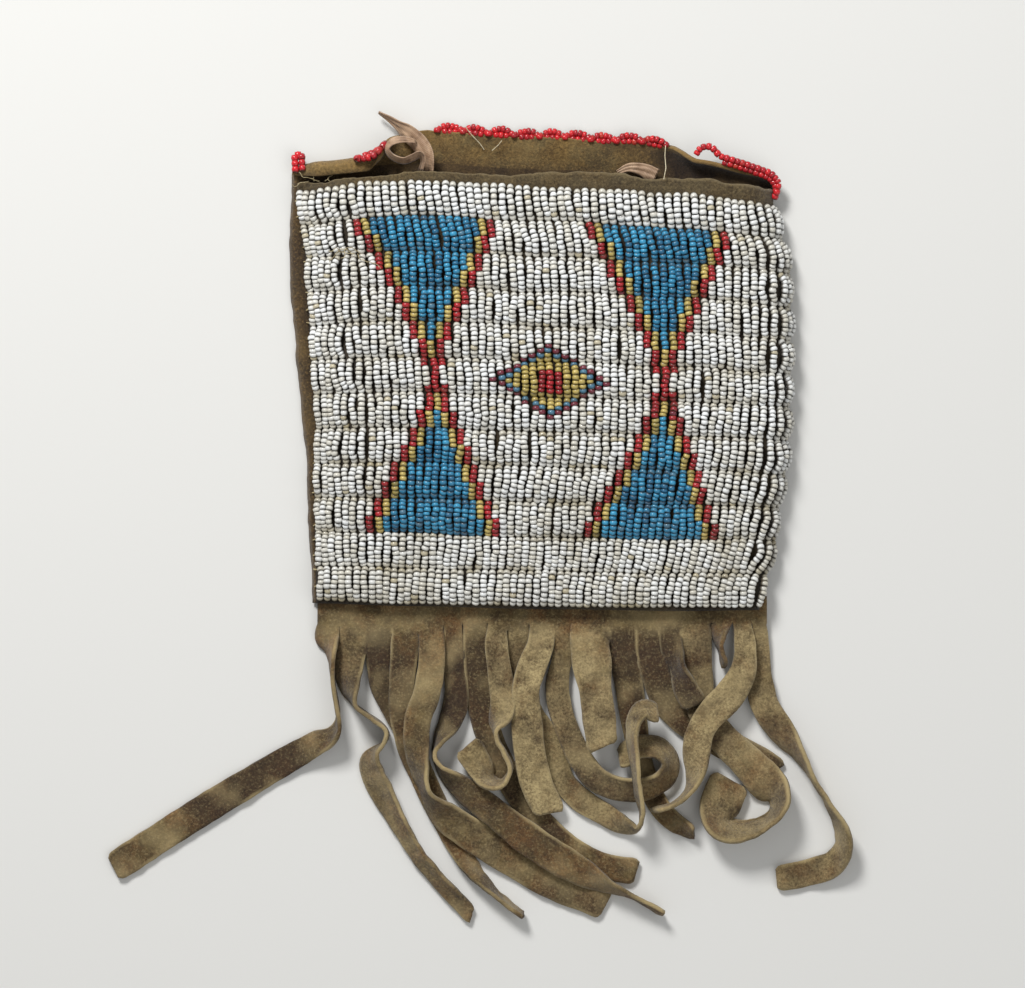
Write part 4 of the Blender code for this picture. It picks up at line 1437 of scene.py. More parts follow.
# Each strap's middle line, as the solids have it but for the turned ends of a few: x, y and z in
# millimetres and its turn in degrees
STRAP_LINES: tuple[tuple[Knot, ...], ...] = (
    (
        (-49.8, -54.6, 1.7, 20), (-48.9, -58, 2.9, 70), (-48.6, -64, 3.2, 88), (-47.4, -71.5, 3.2, 88),
        (-48.2, -76, 3.0, 65), (-53, -79, 1.6, 22), (-60, -83, 0.8, 0), (-78, -93.8, 0.7, 0),
        (-98.2, -106.8, 0.7, 0),
    ),
    (
        (-44.4, -58, 1.8, 8), (-45.0, -64, 2.7, 40), (-43.6, -69.6, 3.5, 85), (-39.5, -72.8, 3.5, 90),
        (-36.4, -75.4, 3.4, 90), (-36.8, -78.3, 3.3, 90), (-39.1, -80.2, 3.1, 75), (-40.1, -83.2, 2.7, 45),
        (-38.2, -88.5, 2.3, 35), (-33.8, -96.5, 2.4, 40), (-29.6, -103.5, 2.4, 40), (-24.2, -110, 2.1, 35),
        (-17.2, -117.6, 0.8, 0),
    ),
    (
        (-38.2, -58, 1.5, 0), (-37.4, -65, 1.2, 0), (-35.0, -70, 0.9, 0), (-32, -75, 0.8, 0),
        (-30, -79, 0.8, 0),
    ),
    (
        (-32.4, -58, 2.4, 0), (-33.0, -66, 3.0, 0), (-32.8, -72, 3.0, 5), (-31.2, -78.5, 2.4, 5),
        (-29.0, -84.5, 0.9, 0), (-25.6, -92, 0.7, 0), (-21.4, -100, 0.7, 0), (-17.4, -106.4, 1.6, -35),
        (-12.2, -112.0, 2.2, -72), (-5.8, -117.4, 2.2, -76),
    ),
    (
        (-26.2, -60, 3.2, 0), (-27.4, -67.5, 4.2, 0), (-29.2, -72.5, 4.6, 0), (-29.6, -78, 4.6, 15),
        (-29.0, -84.0, 4.3, 50), (-27.9, -89.0, 3.9, 72), (-25.4, -92.8, 3.5, 50), (-20.4, -97.0, 2.6, 5),
        (-10.8, -103.2, 1.0, 0), (-1, -109, 0.7, 0), (8.3, -113, 0.7, 0), (13.3, -114.8, 0.7, 0),
    ),
    (
        (-21.2, -60, 1.3, 0), (-20.6, -68, 1.0, 0), (-22.0, -73.6, 1.4, 20), (-24.4, -77.4, 2.8, 65),
        (-25.7, -80.8, 3.3, 88), (-24.2, -84.2, 3.3, 75), (-20.0, -88.0, 3.0, 30), (-12.7, -93.6, 3.2, 5),
        (-5.9, -99.0, 2.8, 0), (0.5, -103.4, 2.5, 0), (7.4, -107.4, 2.6, 10),
        (13.4, -110.6, 3.0, 55), (19.6, -113.4, 2.4, 80), (26.2, -116.6, 2.4, 80),
    ),
    (
        (-16.0, -60, 1.4, 0), (-15.4, -67, 0.9, 0), (-14.2, -74, 0.7, 0), (-11.6, -81, 0.7, 0),
        (-8.6, -86.8, 0.7, 0), (-4.6, -92.8, 0.7, 0), (0.8, -99, 0.7, 0), (6.6, -103.6, 0.7, 0),
        (13.0, -106.4, 0.7, 0), (20.0, -107.6, 0.7, 0),
    ),
    (
        (-11.6, -57, 2.8, 0), (-10.4, -66, 3.6, 0), (-10.4, -71, 4.2, 25), (-12.0, -74.6, 4.4, 75),
        (-11.7, -77.6, 4.4, 90), (-9.9, -80.8, 4.4, 90), (-8.6, -84, 4.4, 90), (-10.2, -87.2, 4.4, 85),
        (-13.4, -86.8, 4.0, 60), (-15.8, -83.2, 3.4, 20), (-18.2, -79, 3.2, 0),
    ),
    (
        (-6.6, -57, 1.0, 0), (-6.0, -65, 0.8, 0), (-3.4, -72, 0.8, 0), (0.2, -77.6, 0.8, 0),
        (2.0, -82.4, 0.8, 0), (3.6, -87.4, 0.8, 0), (8.0, -91.8, 0.8, 0), (13.2, -94.8, 1.0, 8),
        (17.6, -97.2, 2.6, 45), (20.2, -97.6, 4.2, 80), (21.0, -94.2, 5.8, 95), (20.2, -89.4, 7.0, 100),
        (19.5, -83.0, 7.4, 106), (18.9, -76.8, 7.2, 116), (19.4, -72.8, 6.8, 126), (21.6, -70.6, 6.6, 134),
        (24.6, -71.8, 6.4, 140),
    ),
    (
        (-1.6, -56, 2.6, 0), (-3.6, -61.2, 3.8, 0), (-5.0, -66.5, 4.2, 0), (-4.8, -73, 4.2, 0),
        (-4.2, -80, 4.0, 0), (-2.6, -87.5, 3.4, 0), (0.6, -94.2, 2.6, 0),
    ),
    (
        (3.4, -58, 1.4, 0), (2.2, -64.5, 1.4, 0), (2.6, -70, 1.8, 0), (4.8, -76.5, 2.6, 0),
        (7.6, -82.4, 2.8, 5), (11.2, -86.8, 3.0, 15), (16.4, -88.8, 3.0, 20), (22.0, -88.8, 3.1, 25),
        (26.4, -86.4, 3.4, 38), (27.6, -82.6, 3.6, 50), (25.0, -79.6, 3.5, 42), (20.4, -79.4, 3.2, 30),
        (16.0, -81.8, 3.0, 25),
    ),
    (
        (9.4, -56, 3.0, 0), (9.8, -60, 4.2, 0), (10.6, -66, 4.8, 0), (11.4, -72, 5.0, 0),
        (12.2, -79.4, 5.2, 0),
    ),
    (
        (17.2, -58, 1.6, 0), (18.4, -66, 1.1, 0), (19.4, -73, 0.8, 0), (20.6, -80, 0.7, 0),
        (22.4, -87, 0.7, 0), (25.4, -93.2, 0.7, 0), (28.8, -96.6, 1.5, 25), (33.0, -98.8, 2.4, 60),
    ),
    (
        (23.0, -58, 1.6, 0), (25.0, -65, 1.0, 0), (27.8, -70.4, 0.7, 0), (32.0, -74.4, 0.7, 0),
        (37.4, -77.4, 0.7, 0), (42.6, -80.0, 0.7, 0), (47.2, -82.4, 0.7, 0), (51.2, -85.0, 0.7, 0),
    ),
    (
        (27.8, -56.4, 2.4, 10), (29.2, -61.6, 3.0, 55), (31.2, -66.4, 3.1, 10), (33.2, -70, 3.2, 0),
    ),
    (
        (33.4, -58, 1.2, 0), (33.6, -64, 1.1, 0), (34.4, -69, 1.9, 0), (36.6, -74, 2.2, 0),
        (40.6, -78.6, 2.1, 0), (45.0, -82.8, 2.1, 0), (49.2, -87.2, 2.4, 15), (51.8, -90.8, 3.4, 55),
        (51.0, -94.2, 3.7, 75), (47.6, -96.8, 3.7, 72), (43.0, -98.2, 3.6, 60), (39.4, -97.2, 3.4, 44),
        (38.5, -94.2, 2.9, 22), (39.6, -90.6, 2.2, 8), (41.4, -86.8, 1.4, 0),
    ),
    (
        (38.5, -53.6, 2.8, 50), (38.8, -57.2, 3.5, 85), (39.8, -61, 3.4, 75),
    ),
    (
        (44.4, -56, 2.9, 0), (44.0, -62, 3.6, 0), (41.0, -67.4, 4.2, 0), (36.8, -71.8, 4.4, 0),
        (34.2, -76, 4.4, 5), (33.4, -80.4, 4.6, 20), (33.2, -84.8, 4.4, 50), (32.0, -88.8, 4.1, 80),
        (28.6, -92.0, 4.4, 88), (23.8, -93.6, 4.4, 88),
    ),
    (
        (48.0, -57, 1.4, 0), (48.0, -64, 1.6, 0), (48.8, -69.6, 2.0, 0), (52.2, -75.0, 2.7, 20),
        (56.4, -80.8, 3.1, 65), (60.2, -87, 3.2, 88), (63.8, -93, 3.2, 82), (66.2, -98, 3.0, 65),
        (66.6, -102.2, 2.8, 55), (64.0, -105.8, 1.6, 25), (59, -107.8, 0.8, 0), (51.6, -109.2, 0.7, 0),
    ),
)


@dataclass
class Fringe:
    """One strip of hide, held in the bottom seam and cut into straps, one of them torn off."""

    form: PouchForm
    finish: bpy.types.Material
    header_cuts: tuple[float, ...] = (
        -52.0, -46.8, -40.5, -35.0, -29.4, -23.5, -19.3, -13.7, -9.0, -4.3,
        1.3, 5.2, 13.8, 19.8, 25.2, 30.0, 36.8, 41.6, 46.0, 49.4,
    )
    header_top: float = -45.4 * MM
    header_end: float = -51.2 * MM
    header_rows: int = 8
    header_pucker: float = 0.3 * MM
    strap_width: float = 5.3
    # Straps of another width: in millimetres, at their upper and lower parts
    odd_widths: dict[int, tuple[float, float]] = field(
        default_factory=lambda: {
            0: (5.3, 6.2), 1: (6.8, 5.4), 3: (5.5, 4.4), 4: (5.5, 7.0), 5: (5.0, 6.8), 6: (5.6, 5.3),
            7: (5.4, 6.2), 8: (4.8, 4.4), 9: (5.8, 6.6), 10: (5.0, 5.2), 11: (6.8, 6.8), 12: (6.0, 4.2),
            13: (6.2, 6.2), 14: (5.6, 5.2), 15: (6.6, 8.6), 16: (4.8, 4.0), 17: (6.4, 5.6), 18: (5.8, 5.3),
        }
    )
    widens: tuple[float, float] = (0.3, 0.7)
    # Straps with a narrower tail: where it starts as a share of the length, and its part of the width
    tails: dict[int, tuple[float, float]] = field(
        default_factory=lambda: {1: (0.55, 0.68), 3: (0.7, 0.8), 5: (0.72, 0.55)}
    )
    # How far below the header two neighbours stay uncut, in millimetres, by the right one's number
    uncut: dict[int, float] = field(
        default_factory=lambda: {
            1: 0.7, 2: 7.0, 3: 2.4, 4: 2.4, 5: 1.2, 6: 0.6, 8: 2.0, 10: 2.8, 12: 4.0, 13: 8.0, 14: 3.0,
            15: 2.8,
        }
    )
    cut: float = 0.3 * MM
    # Straps keep their full width for a while below the header, and lie spread a little over their neighbours
    whole: float = 6.0 * MM
    spread: float = 0.8 * MM
    step: float = 0.7 * MM
    shoulder: float = 12.0 * MM
    across: int = 8
    cup: float = 0.75 * MM
    wrinkle: float = 0.2 * MM
    slant: float = 1.6 * MM
    # Brown stains along the straps, and painted shade on straps that pass under others, such as strap 13: the
    # strap, then where they start and end as shares of its length, and how dark
    stains_and_shade: dict[int, tuple[float, float, float]] = field(
        default_factory=lambda: {
            0: (0.35, 0.72, 0.7), 1: (0.0, 0.4, 0.35), 2: (0.0, 1.0, 0.75), 3: (0.05, 0.3, 0.6),
            4: (0.78, 1.0, 0.45), 5: (0.0, 0.24, 0.75), 6: (0.0, 0.7, 0.6), 7: (0.0, 0.35, 0.3),
            9: (0.0, 0.14, 0.4), 10: (0.1, 0.6, 0.5), 11: (0.5, 0.9, 0.5), 12: (0.0, 0.75, 0.55),
            13: (0.0, 1.0, 0.5), 14: (0.0, 1.0, 0.65), 15: (0.0, 0.35, 0.5), 18: (0.2, 0.35, 0.35),
        }
    )
    # Straps whose hide is bleached, and how much
    bleached: dict[int, float] = field(
        default_factory=lambda: {
            1: 0.25, 4: 0.15, 7: 0.7, 8: 0.65, 9: 1.0, 10: 0.45, 11: 0.7, 15: 0.5, 17: 0.9, 18: 0.5,
        }
    )
    header_stain: float = 0.06
    # How far down the straps the seam's soil reaches, and over what share of a strap a stain fades
    soil_reach: float = 14 * MM
    stain_fade: float = 0.08
    # Each strap's width varies a little, and its last bit is rounded off
    uneven: float = 0.09
    uneven_length: float = 7 * MM
    rounded: float = 0.28
    rounding: float = 1.4 * MM
    tail_fade: float = 0.2
    # How long the cups and wrinkles along a strap are, and how far from the header they have begun
    cup_length: float = 11 * MM
    wrinkle_length: float = 3.2 * MM
    begins: float = 3 * MM
    edge_stray: float = 0.2 * MM

    def build(self) -> None:
        """Make and dress the fringe."""
        bm = bmesh.new()
        self.edge, self.stain_and_shade, self.pale = (
            bm.verts.layers.float.new(name) for name in ("edge", "stain_and_shade", "pale")
        )
        right_side: list[bmesh.types.BMVert] = []
        for number, knots in enumerate(STRAP_LINES):
            self.add_header(bm, number)
            right_side = self.add_strap(bm, number, knots, right_side)
        bmesh.ops.remove_doubles(bm, verts=bm.verts, dist=0.005 * MM)
        bmesh.ops.recalc_face_normals(bm, faces=bm.faces)
        sheet = Sheet("hide_fringe", self.finish, self.form.hide * 0.92)
        dress(sheet.thicken(mesh_object(sheet.name, bm, self.finish)), ["fringe"])

    def header_x(self, number: int, share: float) -> float:
        """The X of a place in one strap's part of the header."""
        start, end = self.header_cuts[number], self.header_cuts[number + 1]
        return (start + (end - start) * share) * MM

    def add_header(self, bm: bmesh.types.BMesh, number: int) -> None:
        """Add the part of the header over one strap: whole above, cut away from its neighbours below.

        Args:
            bm: The mesh.
            number: Which strap.
        """
        level = self.form.hide * 1.5 + self.form.seam_gap
        grid = []
        for row in range(self.header_rows + 1):
            share = row / self.header_rows
            y = self.header_top + (self.header_end - self.header_top) * share
            line = []
            for column in range(self.across + 1):
                x = self.header_x(number, column / self.across)
                vertex = bm.verts.new((x, y, level + self.header_lump(x, share)))
                vertex[self.stain_and_shade] = self.header_soil(x, y)
                line.append(vertex)
            grid.append(line)
        self.join(bm, grid)
        self.last_row = grid[-1]

    def header_lump(self, x: float, share: float) -> float:
        """How far the header stands off its level: puckered along its cuts."""
        return self.header_pucker * ripple(x, 0, 9, 6 * MM) * share

    def header_soil(self, x: float, y: float) -> float:
        """How brown the fringe is near the seam."""
        near = 1 - eased((self.header_top - y) / (16 * MM))
        return self.header_stain * near * (0.6 + 0.8 * max(ripple(x, y, 3, 9 * MM, 3), -0.6))

    @staticmethod
    def join(bm: bmesh.types.BMesh, grid: list[list[bmesh.types.BMVert]]) -> None:
        """Fill a grid of points with faces."""
        for upper, lower in zip(grid, grid[1:]):
            for first, second, third, fourth in zip(upper, upper[1:], lower[1:], lower):
                bm.faces.new((first, second, third, fourth))

    def add_strap(
        self, bm: bmesh.types.BMesh, number: int, knots: tuple[Knot, ...], neighbour: list[bmesh.types.BMVert]
    ) -> list[bmesh.types.BMVert]:
        """Add one strap from the header's edge to its end.

        Args:
            bm: The mesh.
            number: Which strap.
            knots: Its line.
            neighbour: The right edge of the strap before it, which this one shares as far as they are uncut.

        Returns:
            Its own right edge.
        """
        left, right = self.last_row[0].co, self.last_row[-1].co
        top_width = (right - left).length
        middle = (left + right) / 2
        start = (middle.x / MM, middle.y / MM, middle.z / MM, 0)
        route = smooth_route([start, *knots], self.step)
        upper, lower = (part * MM for part in self.odd_widths.get(number, (self.strap_width,) * 2))
        widens, widened = self.widens
        tail_from, tail_part = self.tails.get(number, (1.0, 1.0))
        stain_from, stain_to, depth = self.stains_and_shade.get(number, (2.0, 3.0, 0.0))
        grid = [self.last_row]
        gone = 0.0
        for place in range(1, len(route)):
            gone += (route[place] - route[place - 1]).xyz.length
            share = place / (len(route) - 1)
            here = top_width + (upper - top_width) * eased((gone - self.whole) / self.shoulder) - self.cut
            here += (lower - upper) * eased((share - widens) / (widened - widens))
            here += self.spread * eased(gone / self.whole)
            here *= 1 - (1 - tail_part) * eased((share - tail_from) / self.tail_fade)
            here *= 1 + self.uneven * ripple(gone, number * 11 * MM, 0, self.uneven_length)
            left_over = (len(route) - 1 - place) * self.step
            here *= 1 - self.rounded * (1 - min(left_over / self.rounding, 1)) ** 2
            ahead, across, out = strip_frame(route, place)
            begun = eased(gone / self.begins)
            cup = self.cup * begun * ripple(gone, number * 17 * MM, 6, self.cup_length)
            wrinkle = self.wrinkle * begun * ripple(gone, number * 29 * MM, 2, self.wrinkle_length)
            slant = self.slant * ripple(number, 0.5, 0, 0.7) * (1 - min(left_over / (4 * MM), 1))
            # A brown stain, which on straps that pass under others is painted shade
            dark = depth * ramp(share, (stain_from, self.stain_fade))
            dark *= 1 - ramp(share, (stain_to, self.stain_fade))
            row = []
            for column in range(self.across + 1):
                reach = 2 * column / self.across - 1
                slip = self.edge_stray * begun * ripple(gone, reach * 4 * MM, number * 7 * MM, 3 * MM)
                point = route[place].xyz + across * reach * here / 2
                point += out * (cup * (1 - reach * reach) + slip + wrinkle)
                point += ahead * slant * reach
                point.z = max(point.z, self.form.hide / 2)
                if column == 0 and gone < self.uncut.get(number, 0.0) * MM:
                    vertex = neighbour[place - 1]
                    vertex.co = (vertex.co + point) / 2
                else:
                    vertex = bm.verts.new(point)
                soil = self.header_soil(point.x, point.y) if gone < self.soil_reach else 0.0
                vertex[self.stain_and_shade] = max(dark, soil)
                vertex[self.pale] = self.bleached.get(number, 0.0) * begun
                worn = max(0.4 + ripple(gone, number * 23 * MM, reach * 20 * MM, 9 * MM), 0.0)
                vertex[self.edge] = worn * eased((abs(reach) - 0.7) / 0.3) * begun
                row.append(vertex)
            grid.append(row)
        self.join(bm, grid)
        return [row[-1] for row in grid[1:]]


@dataclass
class Ribbon:
    """A narrow silk ribbon knotted through the flap, with a thin frayed tail and a crumpled loop."""

    width: float = 4.2 * MM
    # How much of that the main stretch, the loop and the scrap show
    width_parts: tuple[float, float, float] = (1.0, 0.7, 0.8)
    thickness: float = 0.2 * MM
    step: float = 0.45 * MM
    tip_share: float = 0.3
    tip_length: float = 7.2 * MM
    across: int = 8
    pleats: float = 2.6
    pleat_depth: float = 0.2 * MM
    knots: tuple[Knot, ...] = (
        (-38.2, 63.8, 2.4, 70), (-35.9, 62.4, 2.8, 60), (-33.6, 60.6, 3.4, 50), (-31.2, 58.7, 4.4, 30),
        (-29.0, 56.6, 5.0, 22), (-27.5, 54.2, 5.0, 34), (-27.0, 51.8, 4.2, 48), (-27.2, 49.4, 3.2, 50),
    )
    # The loop beside it, which goes round an open eye and back into the mouth, and a scrap left in there
    loop: tuple[Knot, ...] = (
        (-29.8, 57.0, 5.6, 20), (-32.4, 57.4, 6.0, 25), (-34.8, 57.0, 6.2, 40), (-36.2, 55.4, 6.0, 66),
        (-35.2, 53.6, 5.8, 66), (-32.6, 52.6, 5.8, 62), (-30.4, 53.3, 6.2, 60), (-28.8, 54.0, 6.6, 60),
        (-28.1, 52.6, 6.2, 62), (-28.7, 50.6, 4.6, 60),
    )
    scrap: tuple[Knot, ...] = (
        (15.6, 50.2, 2.2, 8), (18.2, 51.3, 2.4, 10), (21.0, 50.9, 2.4, 10), (24.4, 49.4, 2.6, 16),
    )

    def build(self) -> None:
        """Make and dress the ribbon."""
        bm = bmesh.new()
        marks = bm.loops.layers.uv.new("UVMap")
        for knots, part in zip((self.knots, self.loop, self.scrap), self.width_parts):
            self.add_strip(bm, marks, knots, part * self.width)
        bmesh.ops.recalc_face_normals(bm, faces=bm.faces)
        sheet = Sheet("silk_ribbon", SILK.material(), self.thickness)
        dress(sheet.thicken(mesh_object(sheet.name, bm, sheet.finish)), ["ribbon_tie"])

    def add_strip(
        self, bm: bmesh.types.BMesh, marks: bmesh.types.BMLayerItem, knots: Sequence[Knot], whole_width: float
    ) -> None:
        """Add one stretch of ribbon, pleated along its length.

        Args:
            bm: The mesh.
            marks: Its UV layer, which takes the length along the ribbon and the place across it.
            knots: The stretch's line.
            whole_width: Its width past its tip.
        """
        route = smooth_route(knots, self.step)
        rows: list[list[bmesh.types.BMVert]] = []
        lengths: list[float] = []
        gone = 0.0
        for place, here in enumerate(route):
            gone += (here - route[max(place - 1, 0)]).xyz.length
            lengths.append(gone)
            _, across, out = strip_frame(route, place)
            width = whole_width * min(self.tip_share + (1 - self.tip_share) * gone / self.tip_length, 1)
            row = []
            for column in range(self.across + 1):
                reach = column / self.across - 0.5
                pleat = math.sin(math.tau * self.pleats * reach + 3 * ripple(gone, 0, 2, 9 * MM))
                point = here.xyz + across * reach * width + out * pleat * self.pleat_depth
                row.append(bm.verts.new(point))
            rows.append(row)
        corners = ((0, 0), (0, 1), (1, 1), (1, 0))
        for number in range(len(rows) - 1):
            for column in range(self.across):
                places = [(number + down, column + over) for down, over in corners]
                face = bm.faces.new([rows[along][over] for along, over in places])
                for loop, (along, over) in zip(face.loops, places):
                    loop[marks].uv = (lengths[along], over * whole_width / self.across)


@dataclass
class EdgeBeading:
    """Small red beads sewn along the flap's edge in scallops, and a doubled string at the far corner."""

    form: PouchForm
    tree: BeadTree
    width: float = 1.72 * MM
    length: float = 1.15 * MM
    hole: float = 0.4 * MM
    soil: float = 0.5
    scallop: float = 6.0 * MM
    near: float = -0.1 * MM
    far: float = 1.35 * MM
    arch_beads: int = 6
    arch_stray: float = 0.15 * MM
    base_shares: tuple[float, ...] = (0.2, 0.4, 0.6, 0.8)
    base_stray: float = 0.1 * MM
    # The bead between two scallops stands across the hide's edge: where it starts and ends, and its rise
    upright: tuple[float, float] = (-0.5 * MM, 0.7 * MM)
    upright_rise: float = 0.5 * MM
    tilt: float = 0.12
    widths: tuple[float, float] = (0.92, 1.06)
    fill: float = 0.97
    lowest: float = 0.9 * MM
    runs: dict[str, tuple[float, float]] = field(
        default_factory=lambda: {"edge_beads_left": (-43, -36.5), "edge_beads_middle": (-25, 27)}
    )
    # The right run leaves the flap's edge in one loop, then wraps down round the pouch's corner
    right_knots: tuple[Knot, ...] = (
        (33.3, 54.0, 4.6, 0), (34.4, 55.6, 4.9, 0), (36.8, 55.8, 4.9, 0), (38.6, 53.8, 4.6, 0),
        (42.1, 52.7, 4.6, 0), (46.6, 51.2, 4.4, 0), (50.0, 49.9, 4.2, 0), (51.9, 47.7, 3.8, 0),
        (51.3, 45.0, 3.6, 0),
    )
    right_double: tuple[float, float, float] = (-0.4 * MM, -0.9 * MM, -0.5 * MM)
    right_double_from: float = 0.3
    corner: tuple[tuple[float, float, float], ...] = (
        (-56.9, 50.2, 3.4), (-57.1, 54.1, 2.7), (-55.6, 54.3, 2.7), (-55.3, 50.5, 3.7),
    )
    seed: int = 3

    def edge_point(self, x: float, beyond: float) -> Vector:
        """A place past the flap's edge, clear of the surface that the pouch lies on."""
        point = self.form.flap_point(x, 1, beyond)
        point.z = max(point.z, self.lowest)
        return point

    def bead(self, start: Vector, end: Vector, draw: random.Random) -> Bead:
        """One bead from a start to an end.

        Args:
            start: The middle of its first end.
            end: The middle of its last.
            draw: Source of its small differences.

        Returns:
            The bead.
        """
        along = (end - start).normalized()
        up = (Vector((0, 0, 1)) - along * along.z).normalized()
        along = (along + Vector([draw.uniform(-self.tilt, self.tilt) for _ in range(3)])).normalized()
        width = self.width * draw.uniform(*self.widths)
        length = (end - start).length * self.fill
        return Bead((start + end) / 2, along, up, width, length, draw.random(), self.soil)

    def run_beads(self, first: float, last: float, draw: random.Random) -> list[Bead]:
        """The beads of one run: an arch of beads in each scallop, and one upright where two arches meet.

        Args:
            first: X where the run starts, in millimetres.
            last: X where it ends.
            draw: Source of its small differences.

        Returns:
            Its beads.
        """
        beads = []
        count = max(1, round((last - first) * MM / self.scallop))
        width = (last - first) * MM / count
        for scallop in range(count):
            start_x = first * MM + scallop * width
            points = []
            for step in range(self.arch_beads + 1):
                share = step / self.arch_beads
                reach = self.near + (self.far - self.near) * math.sin(math.pi * share) ** 0.6
                reach += self.arch_stray * draw.uniform(-1, 1)
                points.append(self.edge_point(start_x + width * share, reach))
            beads += [self.bead(start, end, draw) for start, end in zip(points, points[1:])]
            beads += self.base_beads(start_x, width, draw)
            inner, outer = (self.edge_point(start_x, beyond) for beyond in self.upright)
            outer.z += self.upright_rise
            inner.z += self.upright_rise
            beads.append(self.bead(inner, outer, draw))
        return beads

    def base_beads(self, start_x: float, width: float, draw: random.Random) -> list[Bead]:
        """The beads under one arch, which lie against the hide's edge.

        Args:
            start_x: X where the scallop starts.
            width: Its width.
            draw: Source of its small differences.

        Returns:
            Its beads.
        """
        places = [start_x + width * share for share in self.base_shares]
        points = [self.edge_point(x, self.base_stray * draw.uniform(-1, 1)) for x in places]
        return [self.bead(start, end, draw) for start, end in zip(points, points[1:])]

    def right_beads(self, draw: random.Random) -> list[Bead]:
        """The right run: one string of beads, with a second one beside it past its loop.

        Args:
            draw: Source of its small differences.

        Returns:
            Its beads.
        """
        route = [place.xyz for place in smooth_route(self.right_knots, self.length)]
        doubled = route[round(len(route) * self.right_double_from):]
        lines = (route, [place + Vector(self.right_double) for place in doubled])
        return [self.bead(start, end, draw) for line in lines for start, end in zip(line, line[1:])]

    def corner_beads(self, draw: random.Random) -> list[Bead]:
        """The doubled string at the corner, which lies on the rolled edge.

        Args:
            draw: Source of its small differences.

        Returns:
            Its beads.
        """
        points = [Vector(point) * MM for point in self.corner]
        beads = []
        for start, end in zip(points, points[1:]):
            count = max(1, round((end - start).length / self.length))
            places = [start.lerp(end, number / count) for number in range(count + 1)]
            beads += [self.bead(low, high, draw) for low, high in zip(places, places[1:])]
        return beads

    def build(self) -> None:
        """Make and dress each run."""
        glass = EDGE_GLASS.material()
        draw = random.Random(self.seed)
        groups = {name: self.run_beads(first, last, draw) for name, (first, last) in self.runs.items()}
        groups["edge_beads_right"] = self.right_beads(draw)
        groups["edge_beads_corner"] = self.corner_beads(draw)
        for seed, (node, beads) in enumerate(groups.items()):
            piece = self.tree.thread(f"{node}_threaded", beads, glass, self.hole, seed)
            dress(piece, [node])


@dataclass(frozen=True)
class Tuft:
    """Broken ends of sinew side by side on the front: where, how many and how long."""

    across: float
    lanes: float
    height: float
    count: int
    spacing: float
    steps: int
    step: float
    rise: float
    seed: int


